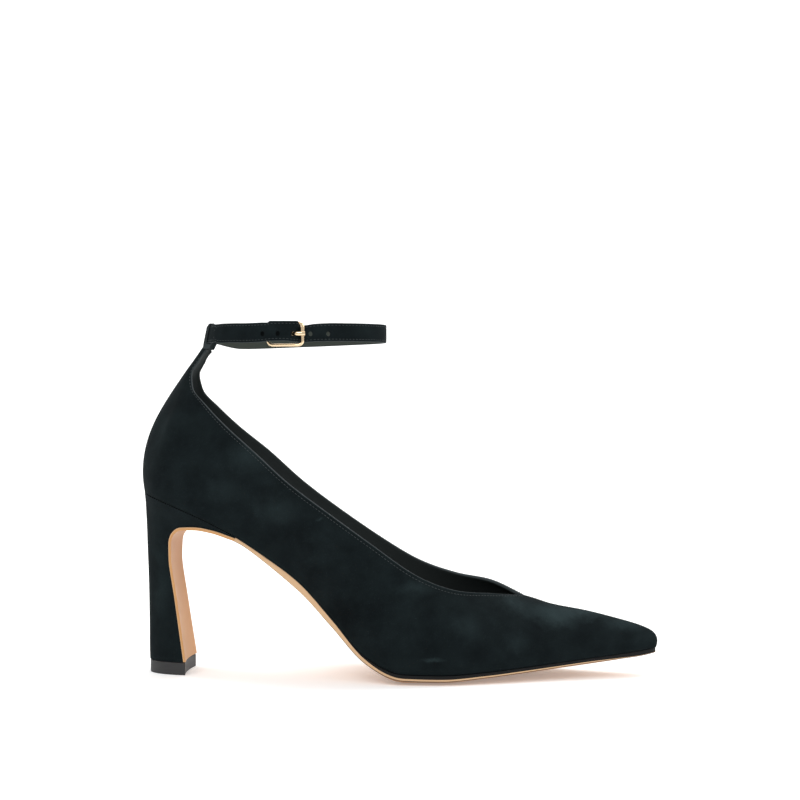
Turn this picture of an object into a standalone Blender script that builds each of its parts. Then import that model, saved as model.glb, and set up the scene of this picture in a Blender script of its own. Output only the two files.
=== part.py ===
"""Pointed pump with a curved block heel and a buckled ankle strap: one right shoe.

Sizes are millimetres in the shoe's own frame: X runs from the heel to the toe, Y from the
lateral (outer) side to the medial (inner) side, and Z up from the floor.
"""
import math
from collections import namedtuple

import bmesh
import bpy
import numpy as np

MM = 0.001
GAP = 0.3                      # clearance where two pieces meet
MERGE = 0.01                   # points closer than this are one point
SHARP_ANGLE = 35               # edges bent more than this many degrees stay crisp

# Upper, insole and sole
UPPER_WALL = 1.8               # suede and lining together
INSOLE_THICK = 1.5
INSOLE_INSET = 2.4             # from the feather line to the edge of the insole
INSOLE_END = 19.4              # section where the insole stops, short of the toe
SOLE_END = 20.9                # section where the sole stops at the toe
THROAT = 15                    # section where the two collar lines meet in the V of the throat
TOE = 21                       # last section
ACROSS = (-1.0, -0.74, -0.4, 0.0, 0.4, 0.74, 1.0)
WALL_STEPS = 10                # steps from the feather line to the top
SECTION_STEPS = 2              # steps from one section of the upper to the next
INSOLE_STEPS = 52
SOLE_STEPS = 36

# Heel and toplift
HEEL_FOOT = 6.3                # height of the heel block's flat foot
TOPLIFT_THICK = 6.0
TOPLIFT_INSET = 0.4
HEEL_STEPS = 14                # steps from the heel's back to its breast
BREAST_STEPS = 30              # steps from the heel's foot up its breast and along the shank

# Ankle strap, its tunnel and its buckle
LOOP_CENTRE = -49.3
LOOP_HALF_LENGTH = 42.2
LOOP_HALF_WIDTH = 27.6
STRAP_THICK = 1.3
STRAP_HALF = 4.3               # half the strap's width
STRAP_HEIGHT = 161.5           # middle of the strap
FOLD_RADIUS = 1.6              # middle of the strap where it turns round the hidden bar
FOLD_HALF = 3.2                # half width of the strap where it is skived for the fold
FOLD_TAIL = (14.0, 9.0, 4.5)   # degrees behind the hidden bar where the folded end lies
FOLD_STEPS = 8
STRAP_STEP = 5                 # degrees of the loop from one section of the strap to the next
HOLE_RADIUS = 1.0
HOLE_TALL = 1.25               # the punched holes are a little taller than wide
HOLE_STEPS = 10
HOLE_UNDER = 0.15              # how far the punch goes through the strap
HOLE_OVER = 2.0
HOLE_PLACES = (-31.8, -39.8, -55.2, -63.0)
PRONG_HOLE = -47.4
PRONG_HOLE_LONG = 2.4          # length of the prong's hole for its width
PRONG_HOLE_UNDER = 2.8
SLOT_BACK, SLOT_AHEAD = 2.4, 2.7   # slot in the fold, from the hidden bar
SLOT_IN, SLOT_OUT = -3.0, 2.4
SLOT_HALF = 1.4
HIDDEN_BAR = -59.5
FRONT_BAR = -43.4
FRONT_BAR_OUT = 1.0            # how far the front bar stands outside the hidden one
FRAME_LOW, FRAME_HIGH = 155.35, 165.55
FRAME_CORNER = 2.2
CORNER_STEPS = 5
FRAME_WIDE, FRAME_THICK = 0.75, 0.65   # half sizes of the oval bar
FRONT_BAR_SWELL = 1.35         # the front bar is wider where the prong rests
FRONT_BAR_REACH = 3.5
BAR_STEPS = 8                  # flats round a bar
PRONG_WIDE, PRONG_THICK = 0.95, 0.5
HOOK_START, HOOK_END = 60, 270     # degrees of the prong's hook round the hidden bar
HOOK_STEPS = 10
TUNNEL_TURN = 15.3             # half the tunnel's reach round the loop, in degrees
TUNNEL_LAYER = 0.95
TUNNEL_CORNER = 0.8
TUNNEL_STEPS = 6
TUNNEL_FLARE = 1.3             # how far the tunnel's foot spreads to meet the neck
TUNNEL_SLANT = 2.2             # height of the slant under the foot's front
TUNNEL_FLARE_HIGH = 157.6
TUNNEL_LOW, TUNNEL_HIGH = 154.2, 166.5

# Neck of the upper: section at its upper corner, and heights where its rounds start and are full
NECK_CORNER = 2
NECK_LOW, NECK_FULL = 116.0, 134.0

# Feather line, where upper and sole meet: a row for each section, from back to toe
Foot = namedtuple("Foot", "x lateral medial z")
FEATHER = [
    Foot(-122.5, 0.0, 0.0, 86.7),
    Foot(-121.6, 7.0, 7.0, 86.4),
    Foot(-119.5, 12.5, 12.5, 85.7),
    Foot(-115.0, 18.5, 18.5, 84.2),
    Foot(-108.0, 22.8, 22.8, 81.7),
    Foot(-99.0, 25.0, 24.6, 78.1),
    Foot(-88.0, 25.2, 24.2, 73.1),
    Foot(-76.0, 24.2, 22.4, 66.7),
    Foot(-62.0, 23.0, 20.0, 57.3),
    Foot(-46.0, 23.6, 18.8, 45.5),
    Foot(-30.0, 27.4, 21.4, 29.1),
    Foot(-14.0, 32.6, 28.4, 12.4),
    Foot(4.0, 36.6, 35.0, 5.1),
    Foot(22.0, 36.0, 37.4, 4.7),
    Foot(40.0, 31.4, 34.0, 5.5),
    Foot(54.0, 26.6, 28.2, 6.6),
    Foot(70.0, 20.4, 21.2, 8.0),
    Foot(87.0, 14.2, 14.6, 9.6),
    Foot(102.0, 9.4, 9.4, 11.1),
    Foot(113.0, 6.2, 6.2, 12.4),
    Foot(118.8, 3.6, 3.6, 13.2),
    Foot(121.2, 0.0, 0.0, 13.4),
]

# Top of each section: the collar as far as the throat, then the ridge of the vamp
Top = namedtuple("Top", "x lateral medial z_lateral z_medial")
TOPLINE = [
    Top(-94.8, 0.0, 0.0, 155.0, 155.0),
    Top(-94.0, 4.4, 4.4, 155.0, 155.0),
    Top(-92.4, 7.4, 7.4, 154.2, 154.2),
    Top(-95.4, 8.6, 8.6, 149.0, 149.0),
    Top(-98.6, 10.8, 10.8, 142.5, 142.3),
    Top(-97.6, 14.0, 14.0, 136.0, 135.4),
    Top(-90.4, 19.2, 19.0, 127.6, 126.4),
    Top(-80.0, 23.4, 22.8, 117.4, 116.2),
    Top(-66.0, 27.0, 26.0, 105.4, 104.6),
    Top(-50.0, 30.2, 28.6, 91.4, 90.0),
    Top(-32.0, 32.6, 30.6, 78.4, 76.2),
    Top(-12.0, 34.6, 33.0, 64.4, 62.3),
    Top(8.0, 33.2, 33.2, 50.4, 50.7),
    Top(26.0, 26.0, 27.4, 42.4, 45.3),
    Top(44.0, 12.4, 13.8, 39.5, 43.2),
    Top(59.0, 0.0, 0.0, 37.5, 37.5),
    Top(72.0, 0.0, 0.0, 33.6, 33.6),
    Top(88.0, 0.0, 0.0, 30.6, 30.6),
    Top(103.0, 0.0, 0.0, 26.9, 26.9),
    Top(113.6, 0.0, 0.0, 23.8, 23.8),
    Top(119.4, 0.0, 0.0, 20.2, 20.2),
    Top(122.0, 0.0, 0.0, 16.6, 16.6),
]

# How each section leaves the feather line and how it arrives at the top
Wall = namedtuple("Wall", "section low_out low_up high_out high_down high_back")
WALL = [
    Wall(0, 5.0, 27.0, 16.6, 24.0, 0.0),
    Wall(2, 4.8, 23.0, 8.0, 20.0, 7.0),
    Wall(3, 4.7, 20.5, 4.5, 13.0, 6.5),
    Wall(4, 4.2, 20.0, 5.0, 8.0, 6.0),
    Wall(5, 4.2, 19.0, 5.5, 10.0, 3.0),
    Wall(6, 4.2, 18.0, 4.8, 16.0, 0.0),
    Wall(8, 5.2, 16.0, 3.0, 16.0, 0.0),
    Wall(10, 4.8, 16.0, 3.2, 16.0, 0.0),
    Wall(12, 3.4, 14.0, 4.6, 14.0, 0.0),
    Wall(13, 2.4, 12.5, 7.0, 11.0, 0.0),
    Wall(14, 1.6, 12.5, 10.0, 6.5, 0.0),
    Wall(15, 1.0, 12.5, 12.5, 2.6, 0.0),
    Wall(17, 0.8, 9.5, 8.4, 0.9, 0.0),
    Wall(19, 0.6, 5.0, 3.6, 0.5, 0.0),
    Wall(21, 0.6, 1.0, 0.5, 0.8, 0.0),
]

# Outsole in front of the heel: edge outside the feather line, edge depth, middle of the underside
Sole = namedtuple("Sole", "section proud edge bottom")
SOLE = [
    Sole(7.06, -0.8, 2.2, 63.65),
    Sole(7.3, -0.8, 1.9, 62.0),
    Sole(8, -0.8, 2.6, 54.1),
    Sole(9, -0.6, 4.0, 40.9),
    Sole(10, -0.2, 3.8, 24.8),
    Sole(11, 0.2, 3.0, 8.4),
    Sole(11.6, 0.5, 2.9, 1.6),
    Sole(12, 0.6, 2.9, 0.0),
    Sole(13, 0.6, 2.8, 0.0),
    Sole(14, 0.4, 2.4, 1.4),
    Sole(15, 0.3, 2.3, 2.9),
    Sole(17, 0.1, 2.0, 6.4),
    Sole(19, -0.1, 1.7, 9.8),
    Sole(21, -0.3, 1.5, 11.2),
]

# Breast of the heel and shank above it, on the hidden face of the sole, from the heel's foot up
Breast = namedtuple("Breast", "x z thick dish")
BREAST = [
    Breast(-101.6, 6.3, 1.2, 1.2),
    Breast(-105.9, 35.0, 1.2, 1.2),
    Breast(-108.7, 55.0, 1.2, 1.0),
    Breast(-108.6, 62.0, 1.2, 0.8),
    Breast(-106.6, 67.4, 1.3, 0.5),
    Breast(-102.0, 70.1, 1.4, 0.2),
    Breast(-95.0, 70.4, 1.4, 0.0),
    Breast(-86.0, 69.0, 1.35, 0.0),
    Breast(-79.0, 66.7, 1.35, 0.0),
    Breast(-75.6, 65.45, 1.3, 0.0),
]

# Heel in side view: each section runs from a height on the back line to a row of the breast
Column = namedtuple("Column", "back front")
HEEL = [
    Column(6.3, 0.0),
    Column(20.0, 0.5),
    Column(35.0, 1.0),
    Column(46.0, 1.5),
    Column(55.0, 2.0),
    Column(61.0, 2.6),
    Column(66.0, 3.2),
    Column(70.0, 4.0),
    Column(74.0, 5.0),
    Column(78.0, 6.0),
    Column(82.0, 7.0),
    Column(84.4, 8.0),
    Column(86.4, 9.0),
]

# Heel below the seat: share of the seat's width that is left, and how far the back has come forward
Taper = namedtuple("Taper", "depth width forward")
TAPER = [
    Taper(0.0, 1.0, 0.0),
    Taper(3.0, 0.93, 0.2),
    Taper(6.0, 0.86, 0.35),
    Taper(10.0, 0.79, 0.5),
    Taper(16.0, 0.71, 0.75),
    Taper(25.0, 0.64, 1.0),
    Taper(45.0, 0.58, 1.7),
    Taper(62.0, 0.59, 2.0),
    Taper(74.0, 0.60, 2.1),
    Taper(81.0, 0.56, 2.3),
]

# Strap along the loop: turn in degrees from the front, offset from the loop's line, drop and half width
Strap = namedtuple("Strap", "turn out drop half")
STRAP = [
    Strap(251.8, 1.2, 0.9, 3.5),
    Strap(241.5, 0.0, 0.2, 4.3),
    Strap(228.0, 0.0, 0.0, 4.3),
    Strap(180.0, 0.0, 0.0, 4.3),
    Strap(163.0, 0.0, 0.0, 4.3),
    Strap(135.0, 0.0, 2.2, 4.3),
    Strap(90.0, 0.0, 1.1, 4.3),
    Strap(45.0, 0.0, 0.2, 4.3),
    Strap(0.0, 0.0, 0.0, 4.3),
    Strap(-60.0, 0.0, 0.1, 4.3),
    Strap(-74.0, -0.7, 0.4, 4.2),
    Strap(-81.5, -0.95, 0.9, 4.0),
    Strap(-83.6, -0.75, 0.9, 4.0),
    Strap(-85.8, 0.6, 0.85, 4.0),
    Strap(-88.3, 2.35, 0.6, 4.1),
    Strap(-90.0, 2.65, 0.2, 4.3),
    Strap(-95.0, 3.05, 0.0, 4.3),
    Strap(-103.3, 3.2, 0.1, 4.4),
    Strap(-108.2, 2.9, 0.3, 4.6),
    Strap(-118.5, 1.7, 0.4, 4.6),
    Strap(-130.0, 1.6, 0.3, 4.6),
    Strap(-140.8, 1.6, 0.3, 4.6),
    Strap(-143.6, 1.6, 0.3, 4.3),
    Strap(-146.2, 1.6, 0.3, 3.5),
    Strap(-147.8, 1.6, 0.3, 2.4),
    Strap(-148.6, 1.6, 0.3, 1.1),
]

# Prong from the hook on the hidden bar to its rest on the front bar
Prong = namedtuple("Prong", "x out")
PRONG = [
    Prong(-57.4, -1.45),
    Prong(-54.0, -0.7),
    Prong(-50.6, 0.1),
    Prong(-48.0, 0.95),
    Prong(-45.6, 2.1),
    Prong(-43.6, 2.5),
    Prong(-42.3, 2.45),
]


def curve(knots, values, start=0, end=0):
    """Smooth curve through values at knots that never overshoots them.

    start and end say how it carries on past its ends: 1 mirrored, -1 mirrored and turned over.
    """
    knots = np.asarray(knots, float)
    values = np.asarray(values, float)
    if start:
        knots = np.insert(knots, 0, 2 * knots[0] - knots[1])
        values = np.insert(values, 0, start * values[1])
    if end:
        knots = np.append(knots, 2 * knots[-1] - knots[-2])
        values = np.append(values, end * values[-2])
    steps = np.diff(knots)
    rises = np.diff(values) / steps
    mean = (rises[:-1] * steps[1:] + rises[1:] * steps[:-1]) / (steps[:-1] + steps[1:])
    least = np.minimum(np.abs(rises[:-1]), np.abs(rises[1:]))
    agree = np.sign(rises[:-1]) + np.sign(rises[1:])
    inner = agree * np.minimum(least, np.abs(mean) / 2)
    slopes = np.concatenate(([rises[0]], inner, [rises[-1]]))

    def at(place):
        index = int(np.clip(np.searchsorted(knots, place, side="right") - 1, 0, len(steps) - 1))
        step = steps[index]
        part = (place - knots[index]) / step
        rest = 1 - part
        return (values[index] * (1 + 2 * part) * rest ** 2 + values[index + 1] * (3 - 2 * part) * part ** 2
                + step * part * rest * (slopes[index] * rest - slopes[index + 1] * part))

    return at


def columns(rows, knots, start=0, end=0, turned=()):
    """One curve for each column of a table; the turned ones change sign past a mirrored end."""
    result = {}
    for name in rows[0]._fields:
        sign = -1 if name in turned else 1
        values = [getattr(row, name) for row in rows]
        result[name] = curve(knots, values, sign * start, sign * end)
    return result


SIDES = {"lateral": -1, "medial": 1}
UPWARD = np.array([0, 0, 1.0])
FOOT = columns(FEATHER, range(len(FEATHER)), 1, 1, ("lateral", "medial"))
TOP = columns(TOPLINE, range(len(TOPLINE)), 1, 1, ("lateral", "medial"))
COLLAR = columns(TOPLINE[:THROAT + 1], range(THROAT + 1), 1, 0, ("lateral", "medial"))
SHAPE = columns(WALL, [row.section for row in WALL], 1, 1)
PLATE = columns(SOLE, [row.section for row in SOLE])
SHANK = columns(BREAST, range(len(BREAST)))
BLOCK = columns(TAPER, [row.depth for row in TAPER])
LEAN = columns(HEEL, [row.front for row in HEEL])


def spread(first, last, count):
    """count + 1 even steps from first to last."""
    return [first + (last - first) * step / count for step in range(count + 1)]


FINE_STEPS = 40                # steps of a section when a place is looked up
SECTIONS = spread(0, TOE, FINE_STEPS * TOE)
SECTION_PLACES = [FOOT["x"](section) for section in SECTIONS]
BREAST_PLACES = spread(0, len(BREAST) - 1, BREAST_STEPS)


def feather_point(side, section, inset=0.0, lift=0.0):
    """Point of the feather line, moved in along the plan and lifted."""
    out = feather_out(side, section)
    point = np.array([FOOT["x"](section), SIDES[side] * FOOT[side](section), FOOT["z"](section)])
    return point - inset * out + np.array([0, 0, lift])


def feather_out(side, section):
    """Outward direction of the feather line, in plan."""
    step = 0.02
    low, high = max(section - step, 0), min(section + step, TOE)
    along = FOOT["x"](high) - FOOT["x"](low)
    aside = SIDES[side] * (FOOT[side](high) - FOOT[side](low))
    if section in (0, TOE):
        return np.array([-1.0 if section == 0 else 1.0, 0, 0])
    out = np.array([-SIDES[side] * aside, SIDES[side] * along, 0])
    return out / np.linalg.norm(out)


def top_point(side, section):
    """Point of the collar, or of the vamp ridge in front of the throat."""
    if section >= THROAT:
        return np.array([TOP["x"](section), 0.0, TOP["z_lateral"](section)])
    return np.array([TOP["x"](section), SIDES[side] * COLLAR[side](section), COLLAR["z_" + side](section)])


def bend(start, start_pull, end, end_pull, share):
    """Cubic curve between two points, each with the pull that it leaves by."""
    rest = 1 - share
    return (rest ** 3 * start + 3 * rest ** 2 * share * (start + start_pull)
            + 3 * rest * share ** 2 * (end + end_pull) + share ** 3 * end)


def rib_point(side, section, share):
    """Point of a rib of the upper, from the feather line (0) to the top (1)."""
    out = feather_out(side, section)
    low_pull = out * SHAPE["low_out"](section) + np.array([0, 0, SHAPE["low_up"](section)])
    high_pull = out * SHAPE["high_out"](section)
    high_pull -= np.array([SHAPE["high_back"](section), 0, SHAPE["high_down"](section)])
    return bend(feather_point(side, section), low_pull, top_point(side, section), high_pull, share)


NECK_SECTIONS = spread(NECK_CORNER, THROAT, FINE_STEPS)[::-1]
NECK_HEIGHTS = {side: [top_point(side, section)[2] for section in NECK_SECTIONS] for side in SIDES}
BACK_LINE = [rib_point("lateral", 0, share) for share in spread(0, 1, FINE_STEPS)]
BACK_HEIGHTS = [point[2] for point in BACK_LINE]
BACK_PLACES = [point[0] for point in BACK_LINE]


def upper_point(side, section, share):
    """Point of the upper's outer face; the neck is a level quarter round at each height."""
    point = rib_point(side, section, share)
    level = min(max((point[2] - NECK_LOW) / (NECK_FULL - NECK_LOW), 0), 1)
    edge = float(np.interp(point[2], NECK_HEIGHTS[side], NECK_SECTIONS))
    if level == 0 or section > edge:
        return point
    middle = float(np.interp(point[2], BACK_HEIGHTS, BACK_PLACES))
    front = top_point(side, edge)
    swing = math.pi / 2 * section / edge
    neck = np.array([middle + (front[0] - middle) * (1 - math.cos(swing)), front[1] * math.sin(swing), point[2]])
    return point + (neck - point) * level * level * (3 - 2 * level)


def new_material(name, colour, roughness, metallic=0.0):
    """Principled material with a plain colour."""
    material = bpy.data.materials.new(name)
    material.use_nodes = True
    shader = material.node_tree.nodes["Principled BSDF"]
    shader.inputs["Base Color"].default_value = (*colour, 1.0)
    shader.inputs["Roughness"].default_value = roughness
    shader.inputs["Metallic"].default_value = metallic
    return material


def new_object(name, sheets, material, faces=()):
    """Object from sheets of points, each a grid, and from single faces of many points."""
    mesh = bpy.data.meshes.new(name)
    form = bmesh.new()
    for sheet in sheets:
        grid = [[form.verts.new(np.asarray(point) * MM) for point in row] for row in sheet]
        for row, after in zip(grid, grid[1:]):
            for left in range(len(row) - 1):
                form.faces.new((row[left], row[left + 1], after[left + 1], after[left]))
    for outline in faces:
        form.faces.new([form.verts.new(np.asarray(point) * MM) for point in outline])
    bmesh.ops.remove_doubles(form, verts=form.verts, dist=MERGE * MM)
    bmesh.ops.recalc_face_normals(form, faces=form.faces)
    form.to_mesh(mesh)
    form.free()
    mesh.materials.append(material)
    mesh.shade_smooth()
    mesh.set_sharp_from_angle(angle=math.radians(SHARP_ANGLE))
    piece = bpy.data.objects.new(name, mesh)
    bpy.context.collection.objects.link(piece)
    return piece


def tube(rings):
    """Sheet round a row of rings of points, each ring closed on itself."""
    return [list(ring) + [ring[0]] for ring in rings]


def make_upper(material):
    """Hollow wall between the feather line and the top, with the strap tunnel on its neck."""
    sheets = []
    for side in SIDES:
        sheets.append([[upper_point(side, section, share) for share in spread(0, 1, WALL_STEPS)]
                       for section in spread(0, TOE, SECTION_STEPS * TOE)])
    upper = new_object("upper", sheets, material)
    wall = upper.modifiers.new("wall", "SOLIDIFY")
    wall.thickness = UPPER_WALL * MM
    wall.offset = -1.0
    tunnel = make_tunnel(material)
    union = upper.modifiers.new("tunnel", "BOOLEAN")
    union.operation = "UNION"
    union.object = tunnel
    return upper


def make_tunnel(material):
    """Folded end of the neck, a flat sleeve round the back of the strap."""
    inner = STRAP_THICK / 2 + GAP
    outer = inner + TUNNEL_LAYER
    low = STRAP_HEIGHT - STRAP_HALF - GAP
    high = STRAP_HEIGHT + STRAP_HALF + GAP
    rings = []
    for reach, flare, slant, bottom, top, corner in (
            (outer, TUNNEL_FLARE, TUNNEL_SLANT, TUNNEL_LOW, TUNNEL_HIGH, TUNNEL_CORNER),
            (inner, 0.0, 0.0, low, high, GAP / 2)):
        section = ((-reach, bottom + slant), (0.0, bottom), (reach + flare, bottom), (reach, TUNNEL_FLARE_HIGH),
                   (reach, top - 2 * corner), (reach - corner, top), (corner - reach, top),
                   (-reach, top - 2 * corner), (-reach, TUNNEL_FLARE_HIGH))
        rings.append([[loop_point(turn, out, rise) for out, rise in section]
                      for turn in spread(180 - TUNNEL_TURN, 180 + TUNNEL_TURN, TUNNEL_STEPS)])
    outside, inside = rings
    ends = [tube([outside[0], inside[0]]), tube([outside[-1], inside[-1]])]
    tunnel = new_object("tunnel_form", [tube(outside), tube(inside)] + ends, material)
    tunnel.hide_render = True
    tunnel.display_type = "WIRE"
    return tunnel


def make_insole(material):
    """Thin board inside the upper, from the heel to just short of the toe."""
    sections = spread(0, INSOLE_END, INSOLE_STEPS)
    rows = {}
    for lift in (0.0, INSOLE_THICK):
        rows[lift] = []
        for section in sections:
            pair = [feather_point(side, section, INSOLE_INSET, lift) for side in SIDES]
            rows[lift].append([pair[0] + (pair[1] - pair[0]) * share for share in spread(0, 1, 4)])
    edges = [[[rows[lift][index][end] for index in range(len(sections))] for lift in rows] for end in (0, -1)]
    front = [rows[lift][-1] for lift in rows]
    return new_object("insole", [rows[0.0], rows[INSOLE_THICK], front] + edges, material)


def section_at(x):
    """Section of the feather line at a place along the shoe."""
    return float(np.interp(x, SECTION_PLACES, SECTIONS))


def heel_half(side, x, z):
    """Half width of the heel at a place in side view: the seat's own, less the taper below it."""
    depth = max(0.0, FOOT["z"](section_at(x)) - GAP - z)
    return FOOT[side](section_at(x - BLOCK["forward"](depth))) * BLOCK["width"](depth)


def breast_point(place, across, out=0.0):
    """Point on the hidden face of the breast and shank, moved out of the heel along its normal."""
    step = 0.05
    last = len(BREAST) - 1
    low, high = max(place - step, 0), min(place + step, last)
    along = np.array([SHANK["x"](high) - SHANK["x"](low), SHANK["z"](high) - SHANK["z"](low)])
    along /= np.linalg.norm(along)
    depth = out - SHANK["dish"](place) * (1 - across ** 2)
    x, z = SHANK["x"](place), SHANK["z"](place)
    half = heel_half("medial" if across > 0 else "lateral", x, z)
    return np.array([x + along[1] * depth, across * half, z - along[0] * depth])


def sole_ring(section):
    """Section of the sole in front of the heel: flat top, upright edge, flat underside."""
    proud = PLATE["proud"](section)
    ends = [feather_point(side, section, -proud, -GAP) for side in SIDES]
    top = [ends[0] + (ends[1] - ends[0]) * (share + 1) / 2 for share in ACROSS]
    under = []
    for share, point in zip(ACROSS, top):
        edge_low = point[2] - PLATE["edge"](section)
        middle_low = min(PLATE["bottom"](section), edge_low)
        under.append(np.array([point[0], point[1], edge_low if abs(share) == 1 else middle_low]))
    return top + under[::-1]


def flap_ring(place):
    """Section of the sole on the shank and down the breast of the heel."""
    top = [breast_point(place, share) for share in ACROSS]
    under = [breast_point(place, share, SHANK["thick"](place)) for share in ACROSS]
    return top + under[::-1]


def make_outsole(material):
    """Sole from the toe over the arch and down the breast of the heel."""
    rings = [sole_ring(section) for section in spread(SOLE_END, SOLE[0].section, SOLE_STEPS)]
    flap = [flap_ring(place) for place in BREAST_PLACES[::-1]]
    foot = [point * np.array([1, 1, 0]) + np.array([0, 0, HEEL_FOOT]) for point in flap[-1]]
    rings += flap[:-1] + [foot]
    return new_object("outsole", [tube(rings)], material, [rings[0], rings[-1]])


def heel_row(place):
    """Section of the heel in side view, straight but for the seat's own curve at the top."""
    rise = LEAN["back"](place)
    back = np.array([FEATHER[0].x + BLOCK["forward"](HEEL[-1].back - rise), rise])
    edge = breast_point(place, 1, -GAP)
    front = np.array([edge[0], edge[2]])
    places = []
    for share in spread(0, 1, HEEL_STEPS):
        x, z = back + (front - back) * share ** 2
        if place == BREAST_PLACES[-1]:
            z = FOOT["z"](section_at(x)) - GAP
        places.append((x, max(z, HEEL_FOOT)))
    return places


def heel_wall(side, row):
    """Row of the heel's side, closed on the middle line at the back."""
    return [np.array([x, SIDES[side] * heel_half(side, x, z) if index else 0.0, z])
            for index, (x, z) in enumerate(row)]


def make_heel(material):
    """Block under the seat, with wings that taper out along the shank."""
    rows = [heel_row(place) for place in BREAST_PLACES]
    walls = {side: [heel_wall(side, row) for row in rows] for side in SIDES}

    def bridge(left, right):
        return [left + (right - left) * (share + 1) / 2 for share in ACROSS]

    seat = [bridge(a, b) for a, b in zip(walls["lateral"][-1], walls["medial"][-1])]
    breast = []
    for place, left, right in zip(BREAST_PLACES, walls["lateral"], walls["medial"]):
        line = bridge(left[-1], right[-1])
        dish = [breast_point(place, share, -GAP) - breast_point(place, math.copysign(1, share), -GAP)
                for share in ACROSS]
        breast.append([point + drop * np.array([1, 0, 1 if place else 0])
                       for point, drop in zip(line, dish)])
    foot = walls["lateral"][0][:-1] + breast[0] + walls["medial"][0][-2:0:-1]
    return new_object("heel", [walls["lateral"], walls["medial"], seat, breast], material, [foot])


def make_toplift(material):
    """Wearing piece under the heel, a little smaller than the heel's foot with its flap."""
    outline = [(point[0], point[1]) for point in heel_wall("lateral", heel_row(0))]
    front = [breast_point(0, share, SHANK["thick"](0)) for share in ACROSS]
    back = [(x, -y) for x, y in outline[:0:-1]]
    outline += [(point[0], point[1]) for point in front] + back
    centre = np.mean(outline, axis=0)
    shrink = 1 - TOPLIFT_INSET / max(y for x, y in outline)
    rings = [[np.append(centre + (np.array(point) - centre) * shrink, height) for point in outline]
             for height in (0.0, TOPLIFT_THICK)]
    return new_object("toplift", [tube(rings)], material, rings)


def loop_point(turn, out, rise):
    """Point beside the ankle loop's middle line, out of it by out and at height rise."""
    angle = math.radians(turn)
    normal = np.array([math.cos(angle) / LOOP_HALF_LENGTH, math.sin(angle) / LOOP_HALF_WIDTH])
    normal /= np.linalg.norm(normal)
    return np.array([LOOP_CENTRE + LOOP_HALF_LENGTH * math.cos(angle) + out * normal[0],
                     LOOP_HALF_WIDTH * math.sin(angle) + out * normal[1], rise])


def near_turn(x):
    """Turn of the loop at a place along the buckled side."""
    return -math.degrees(math.acos((x - LOOP_CENTRE) / LOOP_HALF_LENGTH))


def strap_stations():
    """Plan points of the strap's middle line, each with its middle height and half width."""
    turns = [-row.turn for row in STRAP]
    line = columns(STRAP, turns)
    stations = []
    bar = near_turn(HIDDEN_BAR)
    height = STRAP_HEIGHT - STRAP[0].drop
    for tail in FOLD_TAIL:
        stations.append((loop_point(bar - tail, -FOLD_RADIUS, height), FOLD_HALF))
    centre = loop_point(bar, 0.0, height)
    normal = loop_point(bar, 1.0, height) - centre
    ahead = np.array([-normal[1], normal[0], 0])
    for angle in spread(-90, 90, FOLD_STEPS):
        swing = math.radians(angle)
        turned = normal * math.sin(swing) + ahead * math.cos(swing)
        stations.append((centre + FOLD_RADIUS * turned, FOLD_HALF))
    for low, high in zip(turns, turns[1:]):
        pieces = max(1, round((high - low) / STRAP_STEP))
        for place in spread(low, high, pieces)[:-1]:
            point = loop_point(-place, line["out"](place), STRAP_HEIGHT - line["drop"](place))
            stations.append((point, line["half"](place)))
    tip = STRAP[-1]
    stations.append((loop_point(tip.turn, tip.out, STRAP_HEIGHT - tip.drop), tip.half))
    return stations


def make_strap(material):
    """Strap with its fold, its overlap and its punched holes."""
    stations = strap_stations()
    points = [point for point, half in stations]
    rings = []
    for index, (point, half) in enumerate(stations):
        along = points[min(index + 1, len(points) - 1)] - points[max(index - 1, 0)]
        aside = np.array([along[1], -along[0], 0]) / np.linalg.norm(along[:2])
        ring = []
        for across, up in ((-1, -1), (1, -1), (1, 1), (-1, 1)):
            ring.append(point + aside * across * STRAP_THICK / 2 + np.array([0, 0, up * half]))
        rings.append(ring)
    strap = new_object("ankle_strap", [tube(rings)], material, [rings[0], rings[-1]])
    holes = strap.modifiers.new("holes", "BOOLEAN")
    holes.operation = "DIFFERENCE"
    holes.object = make_hole_cutter(material)
    return strap


def near_point(x, out, rise):
    """Point beside the buckled side of the loop, by its place along the shoe."""
    return loop_point(near_turn(x), out, rise)


def make_hole_cutter(material):
    """Punches for the holes, the prong's long hole and the slot in the fold."""
    line = columns(STRAP, [-row.turn for row in STRAP])
    height = STRAP_HEIGHT - STRAP[0].drop
    sheets = []
    caps = []
    reach = STRAP_THICK / 2
    for x in HOLE_PLACES + (PRONG_HOLE,):
        out = line["out"](-near_turn(x))
        stretch = PRONG_HOLE_LONG if x == PRONG_HOLE else 1.0
        deep = PRONG_HOLE_UNDER if x == PRONG_HOLE else HOLE_UNDER
        rings = []
        for level in (out - reach - deep, out + reach + HOLE_OVER):
            rings.append([near_point(x + HOLE_RADIUS * stretch * math.cos(swing), level,
                                     height + HOLE_TALL * HOLE_RADIUS * math.sin(swing))
                          for swing in spread(0, 2 * math.pi, HOLE_STEPS)[:-1]])
        sheets.append(tube(rings))
        caps += rings
    rings = []
    for level in (SLOT_IN, SLOT_OUT):
        rings.append([near_point(HIDDEN_BAR + along, level, height + up)
                      for along, up in ((-SLOT_BACK, -SLOT_HALF), (SLOT_AHEAD, -SLOT_HALF),
                                        (SLOT_AHEAD, SLOT_HALF), (-SLOT_BACK, SLOT_HALF))])
    sheets.append(tube(rings))
    cutter = new_object("hole_form", sheets, material, caps + rings)
    cutter.hide_render = True
    cutter.display_type = "WIRE"
    return cutter


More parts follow.
